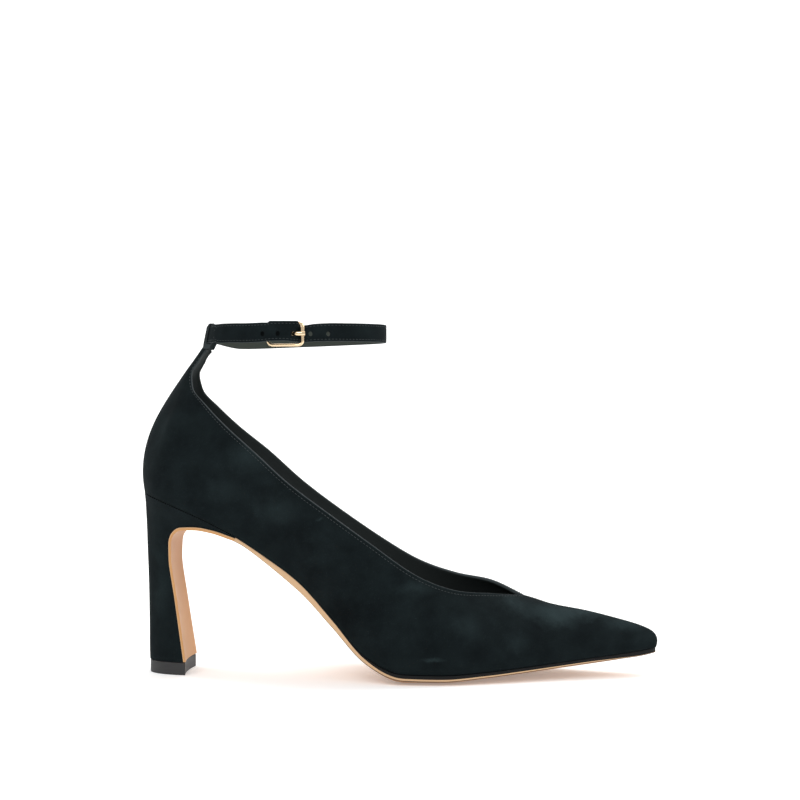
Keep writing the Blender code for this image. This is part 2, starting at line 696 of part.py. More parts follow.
def swept(path, wide, thick, closed):
    """Rings of an oval bar along a path of (point, thin way or None for level, width factor)."""
    points = [point for point, side, factor in path]
    count = len(points)
    rings = []
    for index, (point, side, factor) in enumerate(path):
        before = points[(index - 1) % count] if closed else points[max(index - 1, 0)]
        after = points[(index + 1) % count] if closed else points[min(index + 1, count - 1)]
        along = (after - before) / np.linalg.norm(after - before)
        across = UPWARD if side is None else np.cross(along, side)
        across /= np.linalg.norm(across)
        face = np.cross(across, along)
        rings.append([point + across * wide * factor * math.cos(swing) + face * thick * math.sin(swing)
                      for swing in spread(0, 2 * math.pi, BAR_STEPS)[:-1]])
    return rings


def make_buckle_frame(material):
    """Rounded rectangle of oval bar, tilted so that its front bar lies outside the strap."""
    corners = ((HIDDEN_BAR, FRAME_LOW, 180), (FRONT_BAR, FRAME_LOW, 270),
               (FRONT_BAR, FRAME_HIGH, 0), (HIDDEN_BAR, FRAME_HIGH, 90))
    path = []
    for x, z, first in corners:
        middle_x = x + FRAME_CORNER * (1 if x == HIDDEN_BAR else -1)
        middle_z = z + FRAME_CORNER * (1 if z == FRAME_LOW else -1)
        for angle in spread(first, first + 90, CORNER_STEPS):
            swing = math.radians(angle)
            place = middle_x + FRAME_CORNER * math.cos(swing)
            out = FRONT_BAR_OUT * (place - HIDDEN_BAR) / (FRONT_BAR - HIDDEN_BAR)
            rise = middle_z + FRAME_CORNER * math.sin(swing)
            point = near_point(place, out, rise)
            side = near_point(place, out + 1, rise) - point
            rest = x == FRONT_BAR and abs(rise - STRAP_HEIGHT) < FRONT_BAR_REACH
            path.append((point, side, FRONT_BAR_SWELL if rest else 1.0))
    rings = swept(path, FRAME_WIDE, FRAME_THICK, True)
    return new_object("buckle_frame", [tube(rings + rings[:1])], material)


def make_buckle_prong(material):
    """Prong hooked round the hidden bar, out through the strap and on to the front bar."""
    height = STRAP_HEIGHT - STRAP[0].drop
    centre = near_point(HIDDEN_BAR, 0.0, height)
    normal = near_point(HIDDEN_BAR, 1.0, height) - centre
    ahead = np.array([-normal[1], normal[0], 0])
    path = []
    for angle in spread(HOOK_START, HOOK_END, HOOK_STEPS):
        swing = math.radians(angle)
        point = centre + FOLD_RADIUS * (ahead * math.cos(swing) + normal * math.sin(swing))
        path.append(point)
    path += [near_point(row.x, row.out, height) for row in PRONG]
    rings = swept([(point, None, 1.0) for point in path], PRONG_WIDE, PRONG_THICK, False)
    return new_object("buckle_prong", [tube(rings)], material, [rings[0], rings[-1]])


def main():
    for old in list(bpy.data.objects):
        bpy.data.objects.remove(old)
    suede = new_material("suede", (0.009, 0.013, 0.015), 0.95)
    leather = new_material("sole leather", (0.52, 0.30, 0.15), 0.45)
    rubber = new_material("toplift rubber", (0.03, 0.03, 0.03), 0.6)
    lining = new_material("insole lining", (0.008, 0.008, 0.008), 0.5)
    gold = new_material("pale gold", (0.86, 0.66, 0.42), 0.2, 1.0)
    pieces = [make_upper(suede), make_outsole(leather), make_heel(suede), make_toplift(rubber),
              make_insole(lining), make_strap(suede), make_buckle_frame(gold), make_buckle_prong(gold)]
    bpy.context.view_layer.update()
    shown = bpy.context.evaluated_depsgraph_get()
    corners = np.concatenate([np.array(piece.evaluated_get(shown).bound_box) for piece in pieces])
    low, high = corners.min(axis=0), corners.max(axis=0)
    frame = bpy.data.objects.new("shoe", None)
    for piece in bpy.data.objects:
        if piece != frame:
            piece.parent = frame
    bpy.context.collection.objects.link(frame)
    frame.location = (-(low[0] + high[0]) / 2, -(low[1] + high[1]) / 2, -low[2])


main()
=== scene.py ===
"""Looks of a pointed suede pump with an ankle strap: fine forms, stitches and materials.

Sizes are millimetres in the shoe's own frame: X runs from the heel to the toe, Y from the
lateral (outer) side to the medial (inner) side, and Z up from the floor.
"""
import math
from collections import namedtuple

import bmesh
import bpy
import numpy as np
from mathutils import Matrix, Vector


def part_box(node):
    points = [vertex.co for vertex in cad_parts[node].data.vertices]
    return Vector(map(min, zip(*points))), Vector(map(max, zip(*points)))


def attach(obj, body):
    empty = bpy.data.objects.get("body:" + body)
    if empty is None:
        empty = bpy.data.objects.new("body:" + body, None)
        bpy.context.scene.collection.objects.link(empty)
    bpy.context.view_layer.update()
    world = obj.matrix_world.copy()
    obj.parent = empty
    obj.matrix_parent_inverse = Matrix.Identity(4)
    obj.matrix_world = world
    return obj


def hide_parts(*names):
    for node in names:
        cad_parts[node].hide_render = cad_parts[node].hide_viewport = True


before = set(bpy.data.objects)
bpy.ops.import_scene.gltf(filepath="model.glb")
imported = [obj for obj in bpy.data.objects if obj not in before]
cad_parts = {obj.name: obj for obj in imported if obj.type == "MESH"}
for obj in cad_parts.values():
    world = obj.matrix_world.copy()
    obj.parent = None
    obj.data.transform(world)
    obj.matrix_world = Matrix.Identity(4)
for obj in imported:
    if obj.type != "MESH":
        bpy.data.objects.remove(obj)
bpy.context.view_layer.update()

MM = 0.001
GAP = 0.3                      # clearance where two pieces meet
MERGE = 0.01                   # points closer than this are one point
SHARP_ANGLE = 35               # edges bent more than this many degrees stay crisp

# Upper, insole and sole
UPPER_WALL = 1.8               # suede and lining together
INSOLE_THICK = 1.5
INSOLE_INSET = 2.4             # from the feather line to the edge of the insole
INSOLE_END = 19.4              # section where the insole stops, short of the toe
SOLE_END = 20.9                # section where the sole stops at the toe
THROAT = 15                    # section where the two collar lines meet in the V of the throat
TOE = 21                       # last section
ACROSS = (-1.0, -0.97, -0.93, -0.88, -0.82, -0.74, -0.6, -0.4, -0.2, 0.0,
          0.2, 0.4, 0.6, 0.74, 0.82, 0.88, 0.93, 0.97, 1.0)
WALL_STEPS = 36                # steps from the feather line to the top
SECTION_STEPS = 8              # steps from one section of the upper to the next
INSOLE_STEPS = 156
SOLE_STEPS = 144

# Heel and toplift
HEEL_FOOT = 6.3                # height of the heel block's flat foot
TOPLIFT_THICK = 6.0
TOPLIFT_INSET = 0.4
HEEL_STEPS = 42                # steps from the heel's back to its breast
BREAST_STEPS = 120             # steps from the heel's foot up its breast and along the shank

# Ankle strap, its tunnel and its buckle
LOOP_CENTRE = -49.3
LOOP_HALF_LENGTH = 42.2
LOOP_HALF_WIDTH = 27.6
STRAP_THICK = 1.3
STRAP_HALF = 4.3               # half the strap's width
STRAP_HEIGHT = 161.5           # middle of the strap
FOLD_RADIUS = 1.6              # middle of the strap where it turns round the hidden bar
FOLD_HALF = 3.2                # half width of the strap where it is skived for the fold
FOLD_TAIL = (14.0, 9.0, 4.5)   # degrees behind the hidden bar where the folded end lies
FOLD_STEPS = 24
STRAP_STEP = 0.6               # degrees of the loop from one section of the strap to the next
HOLE_RADIUS = 0.9
HOLE_TALL = 1.25               # the punched holes are a little taller than wide
HOLE_STEPS = 24
HOLE_UNDER = 0.15              # how far the punch goes through the strap
HOLE_OVER = 2.0
HOLE_PLACES = (-31.8, -39.8, -54.2, -61.0)
PRONG_HOLE = -46.85
PRONG_HOLE_LONG = 1.7          # length of the prong's hole for its width
PRONG_HOLE_UNDER = 2.8
SLOT_BACK, SLOT_AHEAD = 2.4, 2.7   # slot in the fold, from the hidden bar
SLOT_IN, SLOT_OUT = -3.0, 2.4
SLOT_HALF = 1.4
HIDDEN_BAR = -59.5
FRONT_BAR = -43.4
FRONT_BAR_OUT = 1.0            # how far the front bar stands outside the hidden one
FRAME_LOW, FRAME_HIGH = 155.35, 165.55
FRAME_CORNER = 2.2
CORNER_STEPS = 10
FRAME_WIDE, FRAME_THICK = 0.75, 0.65   # half sizes of the oval bar
FRONT_BAR_SWELL = 1.35         # the front bar is wider where the prong rests
FRONT_BAR_REACH = 3.5
BAR_STEPS = 16                 # flats round a bar
PRONG_WIDE, PRONG_THICK = 0.95, 0.5
HOOK_START, HOOK_END = 60, 270     # degrees of the prong's hook round the hidden bar
HOOK_STEPS = 30
TUNNEL_TURN = 15.3             # half the tunnel's reach round the loop, in degrees
TUNNEL_LAYER = 0.95
TUNNEL_CORNER = 0.8
TUNNEL_STEPS = 24
TUNNEL_FLARE = 1.3             # how far the tunnel's foot spreads to meet the neck
TUNNEL_FLARE_HIGH = 157.6
TUNNEL_LOW, TUNNEL_HIGH = 154.2, 166.5

# Neck of the upper: section at its upper corner, and heights where its rounds start and are full
NECK_CORNER = 2
NECK_LOW, NECK_FULL = 116.0, 134.0

# Numbers of the materials on a piece with more than one
SUEDE, LINING, CUT_AND_HIGHLIGHT, HOLE_SHADE = range(4)
TAN, BLACK_DYE_AND_SHADE, PAINTED_UNDER_SHADE, BARE = range(4)

# What the eye sees of the edges and the sole's bands
ROUND_STEPS = 2                # facets of a small rounded edge
EDGE_ROUND = 0.5               # rise of the collar's rounded edge
EDGE_STEPS = 8
RIM_PAINTS = [CUT_AND_HIGHLIGHT] * 6 + [LINING] * 2
BELOW_RIM = 0.97               # share of the wall just under the collar
TROUGH_DOWN = 0.6              # how much a trough presses down as well as in, at the top of the wall
SEAM = 0.5                     # open groove between the heel and the upper
TUNNEL_ROUND = 0.35
TOPLIFT_ROUND = 0.3
SOCK_STEPS = 8                 # steps across the sock
FLAT_SHARE = 0.74              # share of the sole's half width that is flat underneath
FLAT_EDGE = 1.3                # how softly the underside turns up to the edge
FLAP_BANDS = (0.15, 0.85)      # where the bands of the flap's edge meet

# Strap as it is worn: pressed along its stitches, over the buckle's top bar and leaning at the back
STRAP_ROUND = 0.3
PRESS = 0.12                   # depth of the strap's face along its stitches
PRESS_SHARE = 0.75             # place of the stitches across the strap's half width
FLAT_PART = 0.55               # share of the half width where that dip starts
COVERED_HOLES = (-54.2, -61.0)   # these end on the layer that lies under them
COVERED_DEPTH = -0.3
COVER_BACK, COVER_FRONT = -59.2, -44.8   # where the upper edge rides over the top bar
COVER_TOP = 166.5
COVER_OUT = 2.4                # the strap's middle has to lie this far out to clear that bar
COVER_SOFT = 0.8               # length of the rise at each end
LEAN_PART = 0.28               # the upper edge leans out above this share of the half width
BACK_LEAN = 0.2                # the strap leans forward behind the ankle, by this for its height
LEAN_START, LEAN_RUN = -80.0, 9.0
FOOT_FRONT = 0.7               # the tunnel's foot is cut back to here under its front
FOOT_SLANT = 3.2               # height of that cut

# Stitches
STITCH_PITCH = 1.7
STITCH_FILL = 0.72             # share of the pitch that shows as thread
STITCH_RADIUS = 0.16
STITCH_SIDES = 6
STITCH_SHARES = (0.0, 0.15, 0.5, 0.85, 1.0)
STITCH_THIN = 0.6              # share of the radius that is left at a stitch's ends
STITCH_SUNK = 0.7              # depth of those ends and rise of the middle, in radii
STITCH_RISE = 1.1
STITCH_FINE = 0.1              # length for finding a line's direction
COLLAR_STITCH_DROP = 1.6
COLLAR_STITCH_START, COLLAR_STITCH_END = 2.6, THROAT - 0.05
COLLAR_STITCH_STEPS = 300

# Sizes of the surfaces' patterns
NAP_PATCH = 12.0               # patches where the nap lies one way
NAP_DRIFT = 8.0                # how far the placed patches' outlines wander
NAP_EDGE = 6.0                 # size of the bays in those outlines
NAP_TUFT = 0.7                 # the fibres are finer than a pixel, so their tufts are drawn coarser
NAP_DEEP = 0.3
LINING_GRAIN = 0.7             # drawn coarser than the pores, which would not show
LINING_DEEP = 0.1
SOLE_CLOUD = 20.0
SOLE_GRAIN = 0.5
SOLE_DEEP = 0.1

# Studio, in metres and watts
SWEEP_FRONT, SWEEP_BACK, SWEEP_BEND, SWEEP_HIGH, SWEEP_WIDE = 3.0, 0.9, 0.7, 3.0, 4.0
SWEEP_STEPS = 16
FLOOR_GLOW = 0.2               # the paper lies on a light table
SKY_STRENGTH = 0.62
Light = namedtuple("Light", "name x y z aim_y aim_z size watts")
LIGHTS = [
    Light("key_softbox", -0.5, -0.9, 1.0, 0.0, 0.06, 0.9, 5.5),
    Light("fill_softbox", 0.9, -0.8, 0.7, 0.0, 0.06, 0.8, 3.0),
    Light("top_softbox", 0.2, 0.3, 1.3, 0.0, 0.06, 0.9, 5.0),
    Light("left_backdrop_light", -1.1, 0.5, 1.2, 1.6, 0.5, 0.6, 9.0),
    Light("right_backdrop_light", 1.1, 0.5, 1.2, 1.6, 0.5, 0.6, 9.0),
]
CAMERA_TURN = 3.5              # degrees from the shoe's side, towards the toe
CAMERA_AWAY, CAMERA_HIGH = 800.0, 130.0
SENSOR, LENS = 36.0, 75.5

# Soft troughs of the suede: middle, reach along and up the wall, lean and depth
Crease = namedtuple("Crease", "side section share long high lean depth")
CREASES = [
    Crease("lateral", 9.0, 0.45, 1.2, 0.3, 2.0, 0.5),
    Crease("lateral", 12.6, 0.35, 0.5, 0.25, -1.0, 0.35),
    Crease("medial", 9.0, 0.45, 1.2, 0.3, 2.0, 0.5),
]

# Lighter and darker patches on the lateral side, partly the brushed nap's own and partly painted light and
# shade (lighter where the top light falls on the toe, the vamp ridge and the heel, darker on the arch):
# middle, reach and strength
PATCH_DEEP = 14.0              # reach of a patch across the shoe
Patch = namedtuple("Patch", "x y z long high lightness")
NAP_AND_LIGHT_PATCHES = [
    Patch(-112.0, -16.0, 116.0, 7.0, 12.0, 0.1),
    Patch(-69.0, -28.0, 104.0, 16.0, 11.0, 0.27),
    Patch(-48.0, -30.0, 64.0, 20.0, 11.0, -0.1),
    Patch(-22.0, -33.0, 33.0, 28.0, 13.0, -0.12),
    Patch(-82.0, -26.0, 88.0, 17.0, 9.0, 0.16),
    Patch(-55.0, -30.0, 79.0, 15.0, 9.0, 0.2),
    Patch(-35.0, -31.0, 75.0, 3.0, 0.9, 0.38),
    Patch(9.0, -36.0, 44.0, 14.0, 5.0, 0.26),
    Patch(33.0, -33.0, 26.0, 11.0, 9.0, 0.19),
    Patch(17.0, -37.0, 12.0, 8.0, 2.2, 0.4),
    Patch(55.0, -24.0, 18.0, 9.0, 7.0, 0.18),
    Patch(58.0, -15.0, 36.0, 14.0, 9.0, 0.6),
    Patch(74.0, -10.0, 30.0, 17.0, 9.0, 0.62),
    Patch(90.0, -5.0, 31.0, 17.0, 6.0, 0.55),
    Patch(107.0, -4.0, 25.0, 15.0, 5.0, 0.4),
    Patch(116.0, -4.0, 18.0, 9.0, 5.0, 0.14),
    Patch(-112.0, -12.0, 40.0, 6.0, 30.0, 0.14),
]

# Feather line, where upper and sole meet: a row for each section, from back to toe
Foot = namedtuple("Foot", "x lateral medial z")
FEATHER = [
    Foot(-122.5, 0.0, 0.0, 86.7),
    Foot(-121.6, 7.0, 7.0, 86.4),
    Foot(-119.5, 12.5, 12.5, 85.7),
    Foot(-115.0, 18.5, 18.5, 84.2),
    Foot(-108.0, 22.8, 22.8, 81.7),
    Foot(-99.0, 25.0, 24.6, 78.1),
    Foot(-88.0, 25.2, 24.2, 73.1),
    Foot(-76.0, 24.2, 22.4, 66.7),
    Foot(-62.0, 23.0, 20.0, 57.3),
    Foot(-46.0, 23.6, 18.8, 45.5),
    Foot(-30.0, 27.4, 21.4, 29.1),
    Foot(-14.0, 32.6, 28.4, 12.4),
    Foot(4.0, 36.6, 35.0, 5.1),
    Foot(22.0, 36.0, 37.4, 4.7),
    Foot(40.0, 31.4, 34.0, 5.5),
    Foot(54.0, 26.6, 28.2, 6.6),
    Foot(70.0, 20.4, 21.2, 8.0),
    Foot(87.0, 14.2, 14.6, 9.6),
    Foot(102.0, 9.4, 9.4, 11.1),
    Foot(113.0, 6.2, 6.2, 12.4),
    Foot(118.8, 3.6, 3.6, 13.2),
    Foot(121.2, 0.0, 0.0, 13.4),
]

# Top of each section: the collar as far as the throat, then the ridge of the vamp
Top = namedtuple("Top", "x lateral medial z_lateral z_medial")
TOPLINE = [
    Top(-94.8, 0.0, 0.0, 155.0, 155.0),
    Top(-94.0, 4.4, 4.4, 155.0, 155.0),
    Top(-92.4, 7.4, 7.4, 154.2, 154.2),
    Top(-95.4, 8.6, 8.6, 149.0, 149.0),
    Top(-98.6, 10.8, 10.8, 142.5, 142.3),
    Top(-97.6, 14.0, 14.0, 136.0, 135.4),
    Top(-90.4, 19.2, 19.0, 127.6, 126.4),
    Top(-80.0, 23.4, 22.8, 117.4, 116.2),
    Top(-66.0, 27.0, 26.0, 105.4, 104.6),
    Top(-50.0, 30.2, 28.6, 91.4, 90.0),
    Top(-32.0, 32.6, 30.6, 78.4, 76.2),
    Top(-12.0, 34.6, 33.0, 64.4, 62.3),
    Top(8.0, 33.2, 33.2, 50.4, 50.7),
    Top(26.0, 26.0, 27.4, 42.4, 45.3),
    Top(44.0, 12.4, 13.8, 39.5, 43.2),
    Top(59.0, 0.0, 0.0, 37.5, 37.5),
    Top(72.0, 0.0, 0.0, 33.6, 33.6),
    Top(88.0, 0.0, 0.0, 30.6, 30.6),
    Top(103.0, 0.0, 0.0, 26.9, 26.9),
    Top(113.6, 0.0, 0.0, 23.8, 23.8),
    Top(119.6, 0.0, 0.0, 20.9, 20.9),
    Top(121.6, 0.0, 0.0, 18.0, 18.0),
]

# How each section leaves the feather line and how it arrives at the top
Wall = namedtuple("Wall", "section low_out low_up high_out high_down high_back")
WALL = [
    Wall(0, 5.0, 27.0, 16.6, 24.0, 0.0),
    Wall(2, 4.8, 23.0, 8.0, 20.0, 7.0),
    Wall(3, 4.7, 20.5, 4.5, 13.0, 6.5),
    Wall(4, 4.2, 20.0, 5.0, 8.0, 6.0),
    Wall(5, 4.2, 19.0, 5.5, 10.0, 3.0),
    Wall(6, 4.2, 18.0, 4.8, 16.0, 0.0),
    Wall(8, 5.2, 16.0, 3.0, 16.0, 0.0),
    Wall(10, 4.8, 16.0, 3.2, 16.0, 0.0),
    Wall(12, 3.4, 14.0, 4.6, 14.0, 0.0),
    Wall(13, 2.4, 12.5, 7.0, 11.0, 0.0),
    Wall(14, 1.6, 12.5, 10.0, 6.5, 0.0),
    Wall(15, 1.0, 12.5, 12.5, 2.6, 0.0),
    Wall(17, 0.8, 9.5, 8.4, 0.9, 0.0),
    Wall(19, 0.6, 5.0, 3.6, 0.5, 0.0),
    Wall(21, 0.6, 1.5, 0.5, 1.4, 0.0),
]

# Outsole in front of the heel: edge outside the feather line, edge depth, middle of the underside, and the
# heights of the black band (black edge dye and painted shade under the upper) and of the bare band on that
# edge, below which the edge is painted brown shade
Sole = namedtuple("Sole", "section proud edge bottom dark tan")
SOLE = [
    Sole(7.06, -0.8, 2.2, 63.65, 0.1, 1.9),
    Sole(7.3, -0.8, 1.9, 62.0, 0.1, 1.6),
    Sole(8, -0.8, 2.6, 54.1, 0.1, 2.3),
    Sole(9, -0.6, 4.0, 40.9, 0.2, 3.7),
    Sole(10, -0.2, 3.8, 24.8, 0.5, 3.0),
    Sole(11, 0.2, 3.0, 8.4, 1.0, 1.6),
    Sole(11.6, 0.5, 2.9, 1.6, 1.5, 0.95),
    Sole(12, 0.6, 2.9, 0.0, 1.6, 0.85),
    Sole(13, 0.6, 2.8, 0.0, 1.6, 0.75),
    Sole(14, 0.4, 2.4, 1.4, 1.4, 0.6),
    Sole(15, 0.3, 2.3, 2.9, 1.35, 0.55),
    Sole(17, 0.1, 2.0, 6.4, 1.3, 0.4),
    Sole(19, -0.1, 2.25, 9.8, 1.9, 0.1),
    Sole(21, -0.3, 1.9, 11.2, 1.8, 0.05),
]

# Breast of the heel and shank above it, on the hidden face of the sole, from the heel's foot up
Breast = namedtuple("Breast", "x z thick dish")
BREAST = [
    Breast(-101.6, 6.3, 1.2, 1.2),
    Breast(-105.9, 35.0, 1.2, 1.2),
    Breast(-108.7, 55.0, 1.2, 1.0),
    Breast(-108.6, 62.0, 1.2, 0.8),
    Breast(-106.6, 67.4, 1.3, 0.5),
    Breast(-102.0, 70.1, 1.4, 0.2),
    Breast(-95.0, 70.4, 1.4, 0.0),
    Breast(-86.0, 69.0, 1.35, 0.0),
    Breast(-79.0, 66.7, 1.35, 0.0),
    Breast(-75.6, 65.45, 1.3, 0.0),
]

# Heel in side view: each section runs from a height on the back line to a row of the breast
Column = namedtuple("Column", "back front")
HEEL = [
    Column(6.3, 0.0),
    Column(20.0, 0.5),
    Column(35.0, 1.0),
    Column(46.0, 1.5),
    Column(55.0, 2.0),
    Column(61.0, 2.6),
    Column(66.0, 3.2),
    Column(70.0, 4.0),
    Column(74.0, 5.0),
    Column(78.0, 6.0),
    Column(82.0, 7.0),
    Column(84.4, 8.0),
    Column(86.4, 9.0),
]

# Heel below the seat: share of the seat's width that is left, and how far the back has come forward
Taper = namedtuple("Taper", "depth width forward")
TAPER = [
    Taper(0.0, 1.0, 0.0),
    Taper(3.0, 0.93, 0.2),
    Taper(6.0, 0.86, 0.35),
    Taper(10.0, 0.79, 0.5),
    Taper(16.0, 0.71, 0.75),
    Taper(25.0, 0.64, 1.0),
    Taper(45.0, 0.58, 1.7),
    Taper(62.0, 0.59, 2.0),
    Taper(74.0, 0.60, 2.1),
    Taper(81.0, 0.56, 2.3),
]

# Strap along the loop: turn in degrees from the front, offset from the loop's line, drop and half width
Strap = namedtuple("Strap", "turn out drop half")
STRAP = [
    Strap(251.8, 1.2, 0.9, 3.5),
    Strap(241.5, 0.0, 0.2, 4.3),
    Strap(228.0, 0.0, 0.0, 4.3),
    Strap(180.0, 0.0, 0.0, 4.3),
    Strap(163.0, 0.0, 0.0, 4.3),
    Strap(135.0, 0.0, 2.2, 4.3),
    Strap(90.0, 0.0, 1.1, 4.3),
    Strap(45.0, 0.0, 0.2, 4.3),
    Strap(0.0, 0.0, 0.0, 4.3),
    Strap(-60.0, 0.0, 0.1, 4.3),
    Strap(-74.0, -0.7, 0.4, 4.2),
    Strap(-81.5, -0.95, 0.9, 4.0),
    Strap(-83.6, -0.75, 0.9, 4.0),
    Strap(-85.8, 0.6, 0.85, 4.0),
    Strap(-88.3, 2.35, 0.6, 4.1),
    Strap(-90.0, 2.65, 0.2, 4.3),
    Strap(-95.0, 3.05, 0.0, 4.3),
    Strap(-103.3, 3.2, 0.1, 4.4),
    Strap(-108.2, 2.9, 0.3, 4.6),
    Strap(-118.5, 1.7, 0.4, 4.6),
    Strap(-130.0, 1.6, 0.3, 4.6),
    Strap(-140.8, 1.6, 0.3, 4.6),
    Strap(-143.6, 1.6, 0.3, 4.3),
    Strap(-146.2, 1.6, 0.3, 3.5),
    Strap(-147.8, 1.6, 0.3, 2.4),
    Strap(-148.6, 1.6, 0.3, 1.1),
]

# Prong from the hook on the hidden bar to its rest on the front bar
Prong = namedtuple("Prong", "x out")
PRONG = [
    Prong(-57.4, -1.45),
    Prong(-54.0, -0.7),
    Prong(-50.6, 0.1),
    Prong(-48.0, 0.95),
    Prong(-45.6, 2.1),
    Prong(-43.6, 2.5),
    Prong(-42.3, 2.45),
]


def curve(knots, values, start=0, end=0):
    """Smooth curve through values at knots that never overshoots them.

    start and end say how it carries on past its ends: 1 mirrored, -1 mirrored and turned over.
    """
    knots = np.asarray(knots, float)
    values = np.asarray(values, float)
    if start:
        knots = np.insert(knots, 0, 2 * knots[0] - knots[1])
        values = np.insert(values, 0, start * values[1])
    if end:
        knots = np.append(knots, 2 * knots[-1] - knots[-2])
        values = np.append(values, end * values[-2])
    steps = np.diff(knots)
    rises = np.diff(values) / steps
    mean = (rises[:-1] * steps[1:] + rises[1:] * steps[:-1]) / (steps[:-1] + steps[1:])
    least = np.minimum(np.abs(rises[:-1]), np.abs(rises[1:]))
    agree = np.sign(rises[:-1]) + np.sign(rises[1:])
    inner = agree * np.minimum(least, np.abs(mean) / 2)
    slopes = np.concatenate(([rises[0]], inner, [rises[-1]]))

    def at(place):
        index = int(np.clip(np.searchsorted(knots, place, side="right") - 1, 0, len(steps) - 1))
        step = steps[index]
        part = (place - knots[index]) / step
        rest = 1 - part
        return (values[index] * (1 + 2 * part) * rest ** 2 + values[index + 1] * (3 - 2 * part) * part ** 2
                + step * part * rest * (slopes[index] * rest - slopes[index + 1] * part))

    return at


def columns(rows, knots, start=0, end=0, turned=()):
    """One curve for each column of a table; the turned ones change sign past a mirrored end."""
    result = {}
    for name in rows[0]._fields:
        sign = -1 if name in turned else 1
        values = [getattr(row, name) for row in rows]
        result[name] = curve(knots, values, sign * start, sign * end)
    return result


SIDES = {"lateral": -1, "medial": 1}
UPWARD = np.array([0, 0, 1.0])
NEAR_SIDE = np.array([0, -1.0, 0])
FOOT = columns(FEATHER, range(len(FEATHER)), 1, 1, ("lateral", "medial"))
TOP = columns(TOPLINE, range(len(TOPLINE)), 1, 1, ("lateral", "medial"))
COLLAR = columns(TOPLINE[:THROAT + 1], range(THROAT + 1), 1, 0, ("lateral", "medial"))
SHAPE = columns(WALL, [row.section for row in WALL], 1, 1)
PLATE = columns(SOLE, [row.section for row in SOLE])
SHANK = columns(BREAST, range(len(BREAST)))
BLOCK = columns(TAPER, [row.depth for row in TAPER])
COLUMN = columns(HEEL, [row.front for row in HEEL])
STRAP_TURNS = [-row.turn for row in STRAP]
STRAP_LINE = columns(STRAP, STRAP_TURNS)
BUCKLE_HEIGHT = STRAP_HEIGHT - STRAP[0].drop


def spread(first, last, count):
    """count + 1 even steps from first to last."""
    return [first + (last - first) * step / count for step in range(count + 1)]


def soft_step(share):
    """Share held between 0 and 1, eased in and out."""
    share = min(max(share, 0), 1)
    return share * share * (3 - 2 * share)


FINE_STEPS = 40                # steps of a section when a place is looked up
SECTIONS = spread(0, TOE, FINE_STEPS * TOE)
SECTION_PLACES = [FOOT["x"](section) for section in SECTIONS]
BREAST_PLACES = spread(0, len(BREAST) - 1, BREAST_STEPS)


def feather_point(side, section, inset=0.0, lift=0.0):
    """Point of the feather line, moved in along the plan and lifted."""
    out = feather_out(side, section)
    point = np.array([FOOT["x"](section), SIDES[side] * FOOT[side](section), FOOT["z"](section)])
    return point - inset * out + np.array([0, 0, lift])


def feather_out(side, section):
    """Outward direction of the feather line, in plan."""
    step = 0.02
    low, high = max(section - step, 0), min(section + step, TOE)
    along = FOOT["x"](high) - FOOT["x"](low)
    aside = SIDES[side] * (FOOT[side](high) - FOOT[side](low))
    if section in (0, TOE):
        return np.array([-1.0 if section == 0 else 1.0, 0, 0])
    out = np.array([-SIDES[side] * aside, SIDES[side] * along, 0])
    return out / np.linalg.norm(out)


def top_point(side, section):
    """Point of the collar, or of the vamp ridge in front of the throat."""
    if section >= THROAT:
        return np.array([TOP["x"](section), 0.0, TOP["z_lateral"](section)])
    return np.array([TOP["x"](section), SIDES[side] * COLLAR[side](section), COLLAR["z_" + side](section)])


def bend(start, start_pull, end, end_pull, share):
    """Cubic curve between two points, each with the pull that it leaves by."""
    rest = 1 - share
    return (rest ** 3 * start + 3 * rest ** 2 * share * (start + start_pull)
            + 3 * rest * share ** 2 * (end + end_pull) + share ** 3 * end)


def rib_point(side, section, share):
    """Point of a rib of the upper, from the feather line (0) to the top (1)."""
    out = feather_out(side, section)
    low_pull = out * SHAPE["low_out"](section) + np.array([0, 0, SHAPE["low_up"](section)])
    high_pull = out * SHAPE["high_out"](section)
    high_pull -= np.array([SHAPE["high_back"](section), 0, SHAPE["high_down"](section)])
    return bend(feather_point(side, section), low_pull, top_point(side, section), high_pull, share)


NECK_SECTIONS = spread(NECK_CORNER, THROAT, FINE_STEPS)[::-1]
NECK_HEIGHTS = {side: [top_point(side, section)[2] for section in NECK_SECTIONS] for side in SIDES}
BACK_LINE = [rib_point("lateral", 0, share) for share in spread(0, 1, FINE_STEPS)]
BACK_HEIGHTS = [point[2] for point in BACK_LINE]
BACK_PLACES = [point[0] for point in BACK_LINE]


def upper_point(side, section, share):
    """Point of the upper's outer face; the neck is a level quarter round at each height."""
    point = rib_point(side, section, share)
    level = soft_step((point[2] - NECK_LOW) / (NECK_FULL - NECK_LOW))
    edge = float(np.interp(point[2], NECK_HEIGHTS[side], NECK_SECTIONS))
    if level == 0 or section > edge:
        return point
    middle = float(np.interp(point[2], BACK_HEIGHTS, BACK_PLACES))
    front = top_point(side, edge)
    swing = math.pi / 2 * section / edge
    along = middle + (front[0] - middle) * (1 - math.cos(swing))
    neck = np.array([along, front[1] * math.sin(swing), point[2]])
    return point + (neck - point) * level


# Place of the shoe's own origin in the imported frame, from the insole's back and the toplift's middle
SHIFT = np.array([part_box("insole")[0].x / MM - FEATHER[0].x - INSOLE_INSET,
                  (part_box("toplift")[0].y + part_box("toplift")[1].y) / MM / 2, 0.0])


def placed(point):
    """Point of the shoe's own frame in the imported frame, in metres."""
    return (np.asarray(point) + SHIFT) * MM


